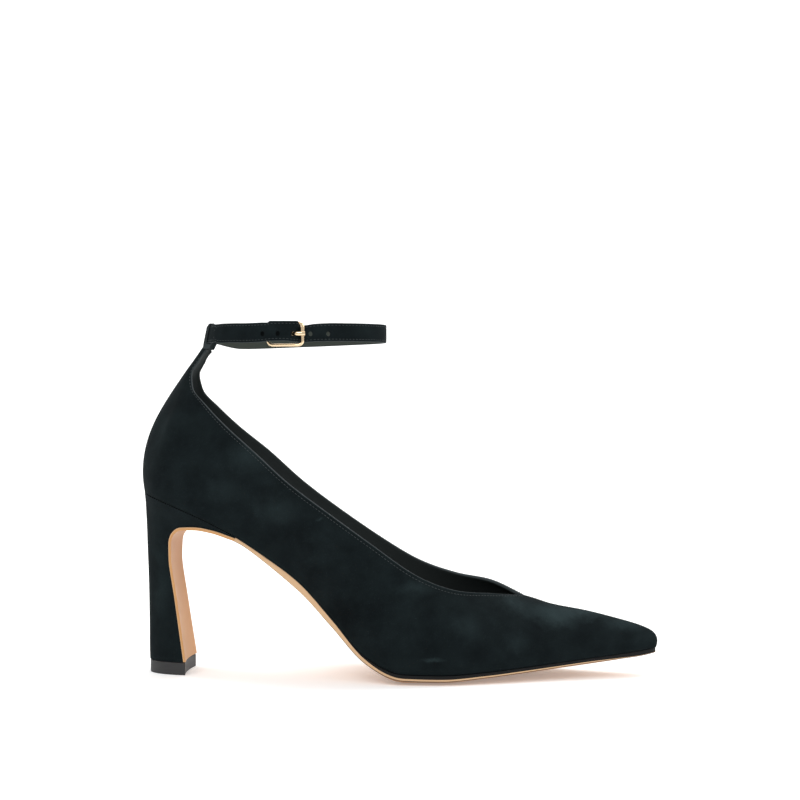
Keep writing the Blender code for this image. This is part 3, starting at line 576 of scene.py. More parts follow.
def new_piece(name, sheets, materials, caps=()):
    """Piece from grids of points and from flat caps, with the numbers of their materials.

    A grid has a number for each column, used over again when there are fewer.
    """
    form = bmesh.new()
    for grid, paints in sheets:
        rows = [[form.verts.new(placed(point)) for point in row] for row in grid]
        for row, after in zip(rows, rows[1:]):
            for left in range(len(row) - 1):
                face = form.faces.new((row[left], row[left + 1], after[left + 1], after[left]))
                face.material_index = paints[left % len(paints)]
    for outline, paint in caps:
        face = form.faces.new([form.verts.new(placed(point)) for point in outline])
        face.material_index = paint
    bmesh.ops.remove_doubles(form, verts=form.verts, dist=MERGE * MM)
    bmesh.ops.recalc_face_normals(form, faces=form.faces)
    mesh = bpy.data.meshes.new(name)
    form.to_mesh(mesh)
    form.free()
    for material in materials:
        mesh.materials.append(material)
    mesh.shade_smooth()
    mesh.set_sharp_from_angle(angle=math.radians(SHARP_ANGLE))
    piece = bpy.data.objects.new(name, mesh)
    bpy.context.collection.objects.link(piece)
    return piece


def seat(piece, node=None):
    """Fixes a piece to the shoe and hides the solid that it stands for."""
    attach(piece, "root")
    if node:
        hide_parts(node)
    return piece


def round_edges(piece, width):
    """Rounds the crisp edges of a piece."""
    bevel = piece.modifiers.new("rounding", "BEVEL")
    bevel.width = width * MM
    bevel.segments = ROUND_STEPS
    bevel.limit_method = "ANGLE"
    bevel.angle_limit = math.radians(SHARP_ANGLE)
    bevel.use_clamp_overlap = True


def tube(rings):
    """Sheet round a row of rings of points, each ring closed on itself."""
    return [list(ring) + [ring[0]] for ring in rings]


def hollow(side, section, share):
    """Depth of the soft troughs in the suede at a place of the upper."""
    depth = 0.0
    for row in CREASES:
        if row.side == side:
            along = (section - row.section - row.lean * (share - row.share)) / row.long
            up = (share - row.share) / row.high
            depth += row.depth * math.exp(-along ** 2 - up ** 2)
    return depth


def suede_point(side, section, share):
    """Point of the upper's outer face with its troughs."""
    out = feather_out(side, section) + UPWARD * TROUGH_DOWN * share
    return upper_point(side, section, share) - out * hollow(side, section, share)


def suede_normal(side, section, share):
    """Outward direction of the upper's outer face; level across the middle lines."""
    step = 0.01
    low, high = max(section - step, 0), min(section + step, TOE)
    along = suede_point(side, high, share) - suede_point(side, low, share)
    up = suede_point(side, section, min(share + step, 1)) - suede_point(side, section, max(share - step, 0))
    normal = np.cross(up, along) * SIDES[side]
    if section in (0, TOE) or (section >= THROAT and share == 1):
        normal[1] = 0
    return normal / np.linalg.norm(normal)


def rim_row(side, section):
    """Half round from the outer face over the collar's edge to the lining."""
    point = suede_point(side, section, 1.0)
    normal = suede_normal(side, section, 1.0)
    step = 0.01
    if section in (0, THROAT):
        along = np.array([0, 1.0, 0])
    else:
        along = suede_point(side, section + step, 1.0) - suede_point(side, section - step, 1.0)
    over = np.cross(normal, along)
    over /= np.linalg.norm(over)
    if np.dot(over, point - suede_point(side, section, BELOW_RIM)) < 0:
        over = -over
    half = UPPER_WALL / 2
    return [point - normal * half * (1 - math.cos(swing)) + over * EDGE_ROUND * math.sin(swing)
            for swing in spread(0, math.pi, EDGE_STEPS)]


def make_upper(suede, lining, cut_and_highlight):
    """Suede wall with its lining inside and its folded edge round the collar."""
    sections = spread(0, TOE, SECTION_STEPS * TOE)
    shares = spread(0, 1, WALL_STEPS)
    sheets = []
    for side in SIDES:
        outer = [[suede_point(side, section, share) for share in shares] for section in sections]
        inner = [[point - suede_normal(side, section, share) * UPPER_WALL
                  for point, share in zip(row, shares)] for section, row in zip(sections, outer)]
        rim = [rim_row(side, section) for section in sections if section <= THROAT]
        foot = [[outer_row[0], inner_row[0]] for outer_row, inner_row in zip(outer, inner)]
        sheets += [(outer, [SUEDE]), (inner, [LINING]), (rim, RIM_PAINTS), (foot, [CUT_AND_HIGHLIGHT])]
    upper = new_piece("suede_upper", sheets, [suede, lining, cut_and_highlight])
    return seat(upper, "upper")


def make_tunnel(suede, cut_and_highlight):
    """Folded end of the neck, a flat sleeve round the back of the strap."""
    inner = STRAP_THICK / 2 + GAP
    outer = inner + TUNNEL_LAYER
    low = STRAP_HEIGHT - STRAP_HALF - GAP
    high = STRAP_HEIGHT + STRAP_HALF + GAP
    rings = []
    for reach, flare, front, bottom, top, corner in (
            (outer, TUNNEL_FLARE, TUNNEL_LOW + FOOT_SLANT, TUNNEL_LOW, TUNNEL_HIGH, TUNNEL_CORNER),
            (inner, 0.0, low, low, high, GAP / 2)):
        section = ((-reach, front), (FOOT_FRONT, bottom), (reach + flare, bottom), (reach, TUNNEL_FLARE_HIGH),
                   (reach, top - 2 * corner), (reach - corner, top), (corner - reach, top),
                   (-reach, top - 2 * corner), (-reach, TUNNEL_FLARE_HIGH))
        leaning = [(out - BACK_LEAN * (rise - STRAP_HEIGHT) * (rise > TUNNEL_LOW), rise)
                   for out, rise in section]
        rings.append([[loop_point(turn, out, rise) for out, rise in leaning]
                      for turn in spread(180 - TUNNEL_TURN, 180 + TUNNEL_TURN, TUNNEL_STEPS)])
    outside, inside = rings
    sheets = [(tube(outside), [0]), (tube(inside), [0])]
    sheets += [(tube([outside[end], inside[end]]), [1]) for end in (0, -1)]
    tunnel = new_piece("neck_tunnel", sheets, [suede, cut_and_highlight])
    round_edges(tunnel, TUNNEL_ROUND)
    return seat(tunnel)


def make_insole(lining):
    """Lining sock on the insole board, from the heel to just short of the toe."""
    sections = spread(0, INSOLE_END, INSOLE_STEPS)
    rows = {}
    for lift in (0.0, INSOLE_THICK):
        rows[lift] = []
        for section in sections:
            pair = [feather_point(side, section, INSOLE_INSET, lift) for side in SIDES]
            rows[lift].append([pair[0] + (pair[1] - pair[0]) * share for share in spread(0, 1, SOCK_STEPS)])
    sheets = [(rows[0.0], [0]), (rows[INSOLE_THICK], [0]), ([rows[lift][-1] for lift in rows], [0])]
    for end in (0, -1):
        sheets.append(([[rows[lift][index][end] for index in range(len(sections))] for lift in rows], [0]))
    insole = new_piece("sock_insole", sheets, [lining])
    return seat(insole, "insole")


def section_at(x):
    """Section of the feather line at a place along the shoe."""
    return float(np.interp(x, SECTION_PLACES, SECTIONS))


def heel_half(side, x, z):
    """Half width of the heel at a place in side view: the seat's own, less the taper below it."""
    depth = max(0.0, FOOT["z"](section_at(x)) - GAP - z)
    return FOOT[side](section_at(x - BLOCK["forward"](depth))) * BLOCK["width"](depth)


def breast_point(place, across, out=0.0):
    """Point on the hidden face of the breast and shank, moved out of the heel along its normal."""
    step = 0.05
    last = len(BREAST) - 1
    low, high = max(place - step, 0), min(place + step, last)
    along = np.array([SHANK["x"](high) - SHANK["x"](low), SHANK["z"](high) - SHANK["z"](low)])
    along /= np.linalg.norm(along)
    depth = out - SHANK["dish"](place) * (1 - across ** 2)
    x, z = SHANK["x"](place), SHANK["z"](place)
    half = heel_half("medial" if across > 0 else "lateral", x, z)
    return np.array([x + along[1] * depth, across * half, z - along[0] * depth])


def sole_ring(section):
    """Section of the sole in front of the heel: top, banded edge, underside, banded edge."""
    proud = PLATE["proud"](section)
    depth = PLATE["edge"](section)
    ends = [feather_point(side, section, -proud, -GAP) for side in SIDES]
    top = [ends[0] + (ends[1] - ends[0]) * (share + 1) / 2 for share in ACROSS]
    under = []
    for share, point in zip(ACROSS, top):
        edge_low = point[2] - depth
        middle_low = min(PLATE["bottom"](section), edge_low)
        slope = max(0.0, (abs(share) - FLAT_SHARE) / (1 - FLAT_SHARE)) ** FLAT_EDGE
        under.append(np.array([point[0], point[1], middle_low + (edge_low - middle_low) * slope]))
    levels = (PLATE["dark"](section), PLATE["dark"](section) + PLATE["tan"](section))
    drops = [min(level, depth) / depth for level in levels]
    return banded(top, under, drops)


def banded(top, under, drops):
    """Ring of the sole from its top and underside, with levels down each edge."""
    near = [top[0] + (under[0] - top[0]) * drop for drop in reversed(drops)]
    far = [top[-1] + (under[-1] - top[-1]) * drop for drop in drops]
    return top + far + under[::-1] + near


def flap_ring(place):
    """Section of the sole on the shank and down the breast of the heel."""
    top = [breast_point(place, share) for share in ACROSS]
    under = [breast_point(place, share, SHANK["thick"](place)) for share in ACROSS]
    return banded(top, under, FLAP_BANDS)


def make_sole(tan, black_dye_and_shade, painted_under_shade, bare):
    """Leather sole from the toe over the arch and down the breast of the heel."""
    rings = [sole_ring(section) for section in spread(SOLE_END, SOLE[0].section, SOLE_STEPS)]
    flap = [flap_ring(place) for place in BREAST_PLACES[::-1]]
    foot = [point * np.array([1, 1, 0]) + np.array([0, 0, HEEL_FOOT]) for point in flap[-1]]
    across = len(ACROSS) - 1
    # The sole's top and the upper band of its edge are black dye with painted shade; the band under the bare
    # stripe is painted shade
    paints = [BLACK_DYE_AND_SHADE] * across + [BLACK_DYE_AND_SHADE, BARE, PAINTED_UNDER_SHADE] + [TAN] * across + [PAINTED_UNDER_SHADE, BARE, BLACK_DYE_AND_SHADE]
    flap_paints = [TAN] * across + [BARE, TAN, TAN] + [TAN] * across + [TAN, TAN, BARE]
    sheets = [(tube(rings + flap[:1]), paints), (tube(flap[:-1] + [foot]), flap_paints)]
    sole = new_piece("leather_sole", sheets, [tan, black_dye_and_shade, painted_under_shade, bare], [(rings[0], BLACK_DYE_AND_SHADE), (foot, TAN)])
    return seat(sole, "outsole")


def heel_row(place):
    """Section of the heel in side view, straight but for the seat's own curve at the top."""
    rise = COLUMN["back"](place)
    back = np.array([FEATHER[0].x + BLOCK["forward"](HEEL[-1].back - rise), rise])
    edge = breast_point(place, 1, -GAP)
    front = np.array([edge[0], edge[2]])
    places = []
    for share in spread(0, 1, HEEL_STEPS):
        x, z = back + (front - back) * share ** 2
        if place == BREAST_PLACES[-1]:
            z = FOOT["z"](section_at(x)) - SEAM
        places.append((x, max(z, HEEL_FOOT)))
    return places


def heel_wall(side, row):
    """Row of the heel's side, closed on the middle line at the back."""
    return [np.array([x, SIDES[side] * heel_half(side, x, z) if index else 0.0, z])
            for index, (x, z) in enumerate(row)]


def make_heel(suede):
    """Suede-covered block under the seat, with wings that taper out along the shank."""
    rows = [heel_row(place) for place in BREAST_PLACES]
    walls = {side: [heel_wall(side, row) for row in rows] for side in SIDES}

    def bridge(left, right):
        return [left + (right - left) * (share + 1) / 2 for share in ACROSS]

    top = [bridge(a, b) for a, b in zip(walls["lateral"][-1], walls["medial"][-1])]
    breast = []
    for place, left, right in zip(BREAST_PLACES, walls["lateral"], walls["medial"]):
        line = bridge(left[-1], right[-1])
        dish = [breast_point(place, share, -GAP) - breast_point(place, math.copysign(1, share), -GAP)
                for share in ACROSS]
        breast.append([point + drop * np.array([1, 0, 1 if place else 0]) for point, drop in zip(line, dish)])
    foot = walls["lateral"][0][:-1] + breast[0] + walls["medial"][0][-2:0:-1]
    sheets = [(grid, [0]) for grid in (walls["lateral"], walls["medial"], top, breast)]
    heel = new_piece("suede_heel", sheets, [suede], [(foot, 0)])
    return seat(heel, "heel")


def make_toplift(rubber):
    """Wearing piece under the heel, a little smaller than the heel's foot with its flap."""
    outline = [(point[0], point[1]) for point in heel_wall("lateral", heel_row(0))]
    front = [breast_point(0, share, SHANK["thick"](0)) for share in ACROSS]
    back = [(x, -y) for x, y in outline[:0:-1]]
    outline += [(point[0], point[1]) for point in front] + back
    centre = np.mean(outline, axis=0)
    shrink = 1 - TOPLIFT_INSET / max(y for x, y in outline)
    rings = [[np.append(centre + (np.array(point) - centre) * shrink, height) for point in outline]
             for height in (0.0, TOPLIFT_THICK)]
    toplift = new_piece("rubber_toplift", [(tube(rings), [0])], [rubber], [(ring, 0) for ring in rings])
    round_edges(toplift, TOPLIFT_ROUND)
    return seat(toplift, "toplift")


def loop_point(turn, out, rise):
    """Point beside the ankle loop's middle line, out of it by out and at height rise."""
    angle = math.radians(turn)
    normal = np.array([math.cos(angle) / LOOP_HALF_LENGTH, math.sin(angle) / LOOP_HALF_WIDTH])
    normal /= np.linalg.norm(normal)
    return np.array([LOOP_CENTRE + LOOP_HALF_LENGTH * math.cos(angle) + out * normal[0],
                     LOOP_HALF_WIDTH * math.sin(angle) + out * normal[1], rise])


def near_turn(x):
    """Turn of the loop at a place along the buckled side."""
    return -math.degrees(math.acos((x - LOOP_CENTRE) / LOOP_HALF_LENGTH))


def near_point(x, out, rise):
    """Point beside the buckled side of the loop, by its place along the shoe."""
    return loop_point(near_turn(x), out, rise)


def cover_share(x):
    """How far the strap's upper edge has come over the buckle's top bar at a place along it."""
    return soft_step(min(x - COVER_BACK, COVER_FRONT - x) / COVER_SOFT)


def strap_stations():
    """Points of the strap's middle line, each with its half width and the lean of its upper edge.

    The fold comes first.
    """
    bar = near_turn(HIDDEN_BAR)
    stations = [(loop_point(bar - tail, -FOLD_RADIUS, BUCKLE_HEIGHT), FOLD_HALF, 0.0) for tail in FOLD_TAIL]
    centre = loop_point(bar, 0.0, BUCKLE_HEIGHT)
    normal = loop_point(bar, 1.0, BUCKLE_HEIGHT) - centre
    ahead = np.array([-normal[1], normal[0], 0])
    for angle in spread(-90, 90, FOLD_STEPS):
        swing = math.radians(angle)
        turned = normal * math.sin(swing) + ahead * math.cos(swing)
        stations.append((centre + FOLD_RADIUS * turned, FOLD_HALF, 0.0))
    for low, high in zip(STRAP_TURNS, STRAP_TURNS[1:]):
        pieces = max(1, round((high - low) / STRAP_STEP))
        for place in spread(low, high, pieces)[:-1]:
            out = STRAP_LINE["out"](place)
            half = STRAP_LINE["half"](place)
            point = loop_point(-place, out, STRAP_HEIGHT - STRAP_LINE["drop"](place))
            share = cover_share(point[0]) if place > 0 else 0.0
            rise = share * (COVER_TOP - point[2] - half)
            stations.append((point + UPWARD * rise / 2, half + rise / 2, share * max(COVER_OUT - out, 0)))
    tip = STRAP[-1]
    stations.append((loop_point(tip.turn, tip.out, STRAP_HEIGHT - tip.drop), tip.half, 0.0))
    return stations


def back_lean(point, up):
    """How far the strap leans into the loop behind the ankle, at a height from its middle."""
    return BACK_LEAN * up * soft_step((LEAN_START - point[0]) / LEAN_RUN)


def strap_sides(stations):
    """Direction into the loop at each station of the strap."""
    points = [station[0] for station in stations]
    sides = []
    for index in range(len(points)):
        along = points[min(index + 1, len(points) - 1)] - points[max(index - 1, 0)]
        sides.append(np.array([along[1], -along[0], 0]) / np.linalg.norm(along[:2]))
    return sides


def make_strap(suede, lining, cut_and_highlight, painted_hole_shade):
    """Strap with rounded edges, pressed in along its stitches, with its fold and punched holes."""
    stations = strap_stations()
    thick = STRAP_THICK / 2
    rings = []
    for (point, half, lean), inward in zip(stations, strap_sides(stations)):
        edge = half - STRAP_ROUND
        flat = FLAT_PART * half
        profile = [(-thick, -edge), (PRESS - thick, -PRESS_SHARE * half), (-thick, -flat),
                   (-thick, LEAN_PART * half), (-thick, flat), (PRESS - thick, PRESS_SHARE * half),
                   (-thick, edge), (STRAP_ROUND - thick, half), (thick - STRAP_ROUND, half),
                   (thick, edge), (thick, flat), (thick, LEAN_PART * half), (thick, -edge),
                   (thick - STRAP_ROUND, -half), (STRAP_ROUND - thick, -half)]
        rings.append([point + inward * (across + back_lean(point, up)) + UPWARD * up
                      + NEAR_SIDE * (lean if up >= flat else 0.0) for across, up in profile])
    paints = [SUEDE] * 6 + [CUT_AND_HIGHLIGHT] * 3 + [LINING] * 3 + [CUT_AND_HIGHLIGHT] * 3
    strap = new_piece("suede_ankle_strap", [(tube(rings), paints)], [suede, lining, cut_and_highlight, painted_hole_shade],
                      [(rings[0], CUT_AND_HIGHLIGHT), (rings[-1], CUT_AND_HIGHLIGHT)])
    punch = make_punches()
    holes = strap.modifiers.new("holes", "BOOLEAN")
    holes.operation = "DIFFERENCE"
    holes.object = punch
    shown = bpy.context.evaluated_depsgraph_get()
    strap.data = bpy.data.meshes.new_from_object(strap.evaluated_get(shown))
    strap.modifiers.clear()
    bpy.data.objects.remove(punch)
    return seat(strap, "ankle_strap")


def make_punches():
    """Punches for the holes, the prong's long hole and the slot in the fold."""
    reach = STRAP_THICK / 2
    sheets = []
    caps = []
    for x in HOLE_PLACES + (PRONG_HOLE,):
        out = STRAP_LINE["out"](-near_turn(x))
        stretch = PRONG_HOLE_LONG if x == PRONG_HOLE else 1.0
        deep = PRONG_HOLE_UNDER if x == PRONG_HOLE else HOLE_UNDER
        deep = COVERED_DEPTH if x in COVERED_HOLES else deep
        rings = []
        for level in (out - reach - deep, out + reach + HOLE_OVER):
            rings.append([near_point(x + HOLE_RADIUS * stretch * math.cos(swing), level,
                                     BUCKLE_HEIGHT + HOLE_TALL * HOLE_RADIUS * math.sin(swing))
                          for swing in spread(0, 2 * math.pi, HOLE_STEPS)[:-1]])
        sheets.append((tube(rings), [HOLE_SHADE]))
        caps += [(ring, HOLE_SHADE) for ring in rings]
    rings = []
    for level in (SLOT_IN, SLOT_OUT):
        rings.append([near_point(HIDDEN_BAR + along, level, BUCKLE_HEIGHT + up)
                      for along, up in ((-SLOT_BACK, -SLOT_HALF), (SLOT_AHEAD, -SLOT_HALF),
                                        (SLOT_AHEAD, SLOT_HALF), (-SLOT_BACK, SLOT_HALF))])
    sheets.append((tube(rings), [CUT_AND_HIGHLIGHT]))
    return new_piece("punches", sheets, [], caps + [(ring, CUT_AND_HIGHLIGHT) for ring in rings])


def swept(path, wide, thick, closed):
    """Rings of an oval bar along a path of (point, thin way or None for level, width factor)."""
    points = [point for point, side, factor in path]
    count = len(points)
    rings = []
    for index, (point, side, factor) in enumerate(path):
        before = points[(index - 1) % count] if closed else points[max(index - 1, 0)]
        after = points[(index + 1) % count] if closed else points[min(index + 1, count - 1)]
        along = (after - before) / np.linalg.norm(after - before)
        across = UPWARD if side is None else np.cross(along, side)
        across = across / np.linalg.norm(across)
        face = np.cross(across, along)
        rings.append([point + across * wide * factor * math.cos(swing) + face * thick * math.sin(swing)
                      for swing in spread(0, 2 * math.pi, BAR_STEPS)[:-1]])
    return rings


def make_buckle_frame(gold):
    """Rounded rectangle of oval bar, tilted so that its front bar lies outside the strap."""
    corners = ((HIDDEN_BAR, FRAME_LOW, 180), (FRONT_BAR, FRAME_LOW, 270),
               (FRONT_BAR, FRAME_HIGH, 0), (HIDDEN_BAR, FRAME_HIGH, 90))
    path = []
    for x, z, first in corners:
        middle_x = x + FRAME_CORNER * (1 if x == HIDDEN_BAR else -1)
        middle_z = z + FRAME_CORNER * (1 if z == FRAME_LOW else -1)
        for angle in spread(first, first + 90, CORNER_STEPS):
            swing = math.radians(angle)
            place = middle_x + FRAME_CORNER * math.cos(swing)
            out = FRONT_BAR_OUT * (place - HIDDEN_BAR) / (FRONT_BAR - HIDDEN_BAR)
            rise = middle_z + FRAME_CORNER * math.sin(swing)
            point = near_point(place, out, rise)
            side = near_point(place, out + 1, rise) - point
            rest = x == FRONT_BAR and abs(rise - STRAP_HEIGHT) < FRONT_BAR_REACH
            path.append((point, side, FRONT_BAR_SWELL if rest else 1.0))
    rings = swept(path, FRAME_WIDE, FRAME_THICK, True)
    piece = new_piece("gold_buckle_frame", [(tube(rings + rings[:1]), [0])], [gold])
    return seat(piece, "buckle_frame")


def make_buckle_prong(gold):
    """Prong hooked round the hidden bar, out through the strap and on to the front bar."""
    centre = near_point(HIDDEN_BAR, 0.0, BUCKLE_HEIGHT)
    normal = near_point(HIDDEN_BAR, 1.0, BUCKLE_HEIGHT) - centre
    ahead = np.array([-normal[1], normal[0], 0])
    path = []
    for angle in spread(HOOK_START, HOOK_END, HOOK_STEPS):
        swing = math.radians(angle)
        path.append(centre + FOLD_RADIUS * (ahead * math.cos(swing) + normal * math.sin(swing)))
    line = columns(PRONG, [row.x for row in PRONG])
    path += [near_point(x, line["out"](x), BUCKLE_HEIGHT)
             for x in spread(PRONG[0].x, PRONG[-1].x, HOOK_STEPS)]
    rings = swept([(point, None, 1.0) for point in path], PRONG_WIDE, PRONG_THICK, False)
    prong = new_piece("gold_buckle_prong", [(tube(rings), [0])], [gold], [(rings[0], 0), (rings[-1], 0)])
    return seat(prong, "buckle_prong")


def stitch_run(points, outs):
    """Stitches at an even pitch along a line of points with outward directions."""
    points = np.array(points)
    outs = np.array(outs)
    lengths = np.concatenate(([0], np.cumsum(np.linalg.norm(np.diff(points, axis=0), axis=1))))

    def at(values, length):
        return np.array([np.interp(length, lengths, values[:, axis]) for axis in range(3)])

    stitches = []
    for number in range(int(lengths[-1] / STITCH_PITCH)):
        start = (number + 0.5 - STITCH_FILL / 2) * STITCH_PITCH
        rings = []
        for share in STITCH_SHARES:
            place = start + share * STITCH_FILL * STITCH_PITCH
            along = at(points, place + STITCH_FINE) - at(points, place - STITCH_FINE)
            along /= np.linalg.norm(along)
            out = at(outs, place)
            out -= along * np.dot(out, along)
            out /= np.linalg.norm(out)
            across = np.cross(along, out)
            arch = math.sin(math.pi * share)
            middle = at(points, place) + out * STITCH_RADIUS * (STITCH_RISE * arch - STITCH_SUNK)
            radius = STITCH_RADIUS * (STITCH_THIN + (1 - STITCH_THIN) * arch)
            rings.append([middle + radius * (across * math.cos(swing) + out * math.sin(swing))
                          for swing in spread(0, 2 * math.pi, STITCH_SIDES)[:-1]])
        stitches.append(rings)
    return stitches


def make_stitches(name, runs, thread):
    """One piece with all the stitches of some runs."""
    stitches = [rings for run in runs for rings in run]
    caps = [(ring, 0) for rings in stitches for ring in (rings[0], rings[-1])]
    piece = new_piece(name, [(tube(rings), [0]) for rings in stitches], [thread], caps)
    return seat(piece)


def collar_run(side):
    """Stitches just below the collar on one side, from the tunnel to the throat."""
    points = []
    outs = []
    rise = 0.05
    step = 0.02
    for section in spread(COLLAR_STITCH_START, COLLAR_STITCH_END, COLLAR_STITCH_STEPS):
        slope = suede_point(side, section, 1.0) - suede_point(side, section, 1 - rise)
        share = 1 - rise * COLLAR_STITCH_DROP / np.linalg.norm(slope)
        along = suede_point(side, section + step, share) - suede_point(side, section - step, share)
        out = np.cross(along, slope) * -SIDES[side]
        points.append(suede_point(side, section, share))
        outs.append(out / np.linalg.norm(out))
    return stitch_run(points, outs)


def strap_run(edge):
    """Stitches along one edge of the strap's outer face."""
    stations = strap_stations()
    first = len(FOLD_TAIL) + FOLD_STEPS + 1
    points = []
    outs = []
    for (point, half, lean), inward in list(zip(stations, strap_sides(stations)))[first:]:
        up = edge * PRESS_SHARE * half
        points.append(point + inward * (PRESS - STRAP_THICK / 2 + back_lean(point, up)) + UPWARD * up
                      + NEAR_SIDE * (lean if edge > 0 else 0.0))
        outs.append(-inward)
    return stitch_run(points, outs)


def linear(code):
    """Linear colour of an sRGB hex value."""
    parts = [int(code[index:index + 2], 16) / 255 for index in (0, 2, 4)]
    return [part / 12.92 if part <= 0.04045 else ((part + 0.055) / 1.055) ** 2.4 for part in parts] + [1.0]


def fill(tree, node, inputs):
    """Sets or links each of a node's inputs."""
    for key, value in inputs.items():
        if isinstance(value, bpy.types.NodeSocket):
            tree.links.new(value, node.inputs[key])
        else:
            node.inputs[key].default_value = value


def add_node(tree, kind, inputs, **settings):
    """Adds a node with its settings and links."""
    node = tree.nodes.new(kind)
    for name, value in settings.items():
        setattr(node, name, value)
    fill(tree, node, inputs)
    return node


def new_material(name):
    """Material with its node tree and its shader."""
    material = bpy.data.materials.new(name)
    material.use_nodes = True
    return material, material.node_tree, material.node_tree.nodes["Principled BSDF"]


def suede_with_painted_light(name, deep, pale):
    """Calf suede, dyed black and brushed: a dull nap that lies light and dark in soft patches, with placed
    patches of painted light and shade.
    """
    material, tree, shader = new_material(name)
    place = add_node(tree, "ShaderNodeTexCoord", {}).outputs["Object"]
    patches = add_node(tree, "ShaderNodeTexNoise", {
        "Vector": place, "Scale": 1 / (NAP_PATCH * MM), "Detail": 5.0, "Roughness": 0.58})
    lie = add_node(tree, "ShaderNodeMapRange", {
        "Value": patches.outputs["Fac"], "From Min": 0.3, "From Max": 0.8, "To Min": 0.06, "To Max": 0.25})
    lightness = lie.outputs["Result"]
    # The placed patches of painted light and shade have bays in their outlines, like the brushed nap's own
    # patches
    ragged = add_node(tree, "ShaderNodeTexNoise", {
        "Vector": place, "Scale": 1 / (NAP_EDGE * MM), "Detail": 4.0, "Roughness": 0.65})
    drift = add_node(tree, "ShaderNodeVectorMath", {
        0: ragged.outputs["Color"], 1: [NAP_DRIFT * MM] * 3, 2: place}, operation="MULTIPLY_ADD")
    for row in NAP_AND_LIGHT_PATCHES:
        middle = placed([row.x, row.y, row.z]) + NAP_DRIFT * MM / 2
        size = [row.long * MM, PATCH_DEEP * MM, row.high * MM]
        away = add_node(tree, "ShaderNodeVectorMath", {
            0: drift.outputs["Vector"], 1: middle}, operation="SUBTRACT")
        reach = add_node(tree, "ShaderNodeVectorMath", {
            0: away.outputs["Vector"], 1: size}, operation="DIVIDE")
        length = add_node(tree, "ShaderNodeVectorMath", {0: reach.outputs["Vector"]}, operation="LENGTH")
        fade = add_node(tree, "ShaderNodeMapRange", {
            "Value": length.outputs["Value"], "From Min": 1.0, "From Max": 0.0,
            "To Max": row.lightness}, interpolation_type="SMOOTHSTEP")
        total = add_node(tree, "ShaderNodeMath", {0: lightness, 1: fade.outputs["Result"]})
        lightness = total.outputs["Value"]
    tint = add_node(tree, "ShaderNodeMix", {0: lightness, 6: linear(deep), 7: linear(pale)}, data_type="RGBA")
    nap = add_node(tree, "ShaderNodeTexNoise", {
        "Vector": place, "Scale": 1 / (NAP_TUFT * MM), "Detail": 3.0, "Roughness": 0.65})
    bump = add_node(tree, "ShaderNodeBump", {
        "Height": nap.outputs["Fac"], "Strength": 0.4, "Distance": NAP_DEEP * MM})
    fill(tree, shader, {
        "Base Color": tint.outputs[2], "Roughness": 0.95, "Specular IOR Level": 0.06, "Sheen Weight": 0.03,
        "Sheen Roughness": 0.5, "Sheen Tint": linear("b4c0c3"), "Normal": bump.outputs["Normal"]})
    return material


def lining_leather(name, colour, roughness):
    """Thin lining leather, dyed and plated smooth: an even satin with a fine grain."""
    material, tree, shader = new_material(name)
    place = add_node(tree, "ShaderNodeTexCoord", {}).outputs["Object"]
    grain = add_node(tree, "ShaderNodeTexVoronoi", {"Vector": place, "Scale": 1 / (LINING_GRAIN * MM)})
    bump = add_node(tree, "ShaderNodeBump", {
        "Height": grain.outputs["Distance"], "Strength": 0.15, "Distance": LINING_DEEP * MM})
    fill(tree, shader, {
        "Base Color": linear(colour), "Roughness": roughness, "Specular IOR Level": 0.2,
        "Normal": bump.outputs["Normal"]})
    return material


def sole_leather(name, deep, pale):
    """Vegetable-tanned sole leather, rolled and waxed: smooth tan with faint clouds."""
    material, tree, shader = new_material(name)
    place = add_node(tree, "ShaderNodeTexCoord", {}).outputs["Object"]
    clouds = add_node(tree, "ShaderNodeTexNoise", {
        "Vector": place, "Scale": 1 / (SOLE_CLOUD * MM), "Detail": 4.0, "Roughness": 0.6})
    tint = add_node(tree, "ShaderNodeMix", {
        0: clouds.outputs["Fac"], 6: linear(deep), 7: linear(pale)}, data_type="RGBA")
    grain = add_node(tree, "ShaderNodeTexNoise", {
        "Vector": place, "Scale": 1 / (SOLE_GRAIN * MM), "Detail": 2.0})
    bump = add_node(tree, "ShaderNodeBump", {
        "Height": grain.outputs["Fac"], "Strength": 0.12, "Distance": SOLE_DEEP * MM})
    fill(tree, shader, {
        "Base Color": tint.outputs[2], "Roughness": 0.5, "Specular IOR Level": 0.3,
        "Normal": bump.outputs["Normal"]})
    return material


def plain(name, colour, roughness, metallic=0.0, shine=0.5, glow=0.0):
    """Even surface with one colour: edge dye, thread, rubber, paper or plated metal."""
    material, tree, shader = new_material(name)
    fill(tree, shader, {
        "Base Color": linear(colour), "Roughness": roughness, "Metallic": metallic,
        "Specular IOR Level": shine, "Emission Color": linear("ffffff"), "Emission Strength": glow})
    return material


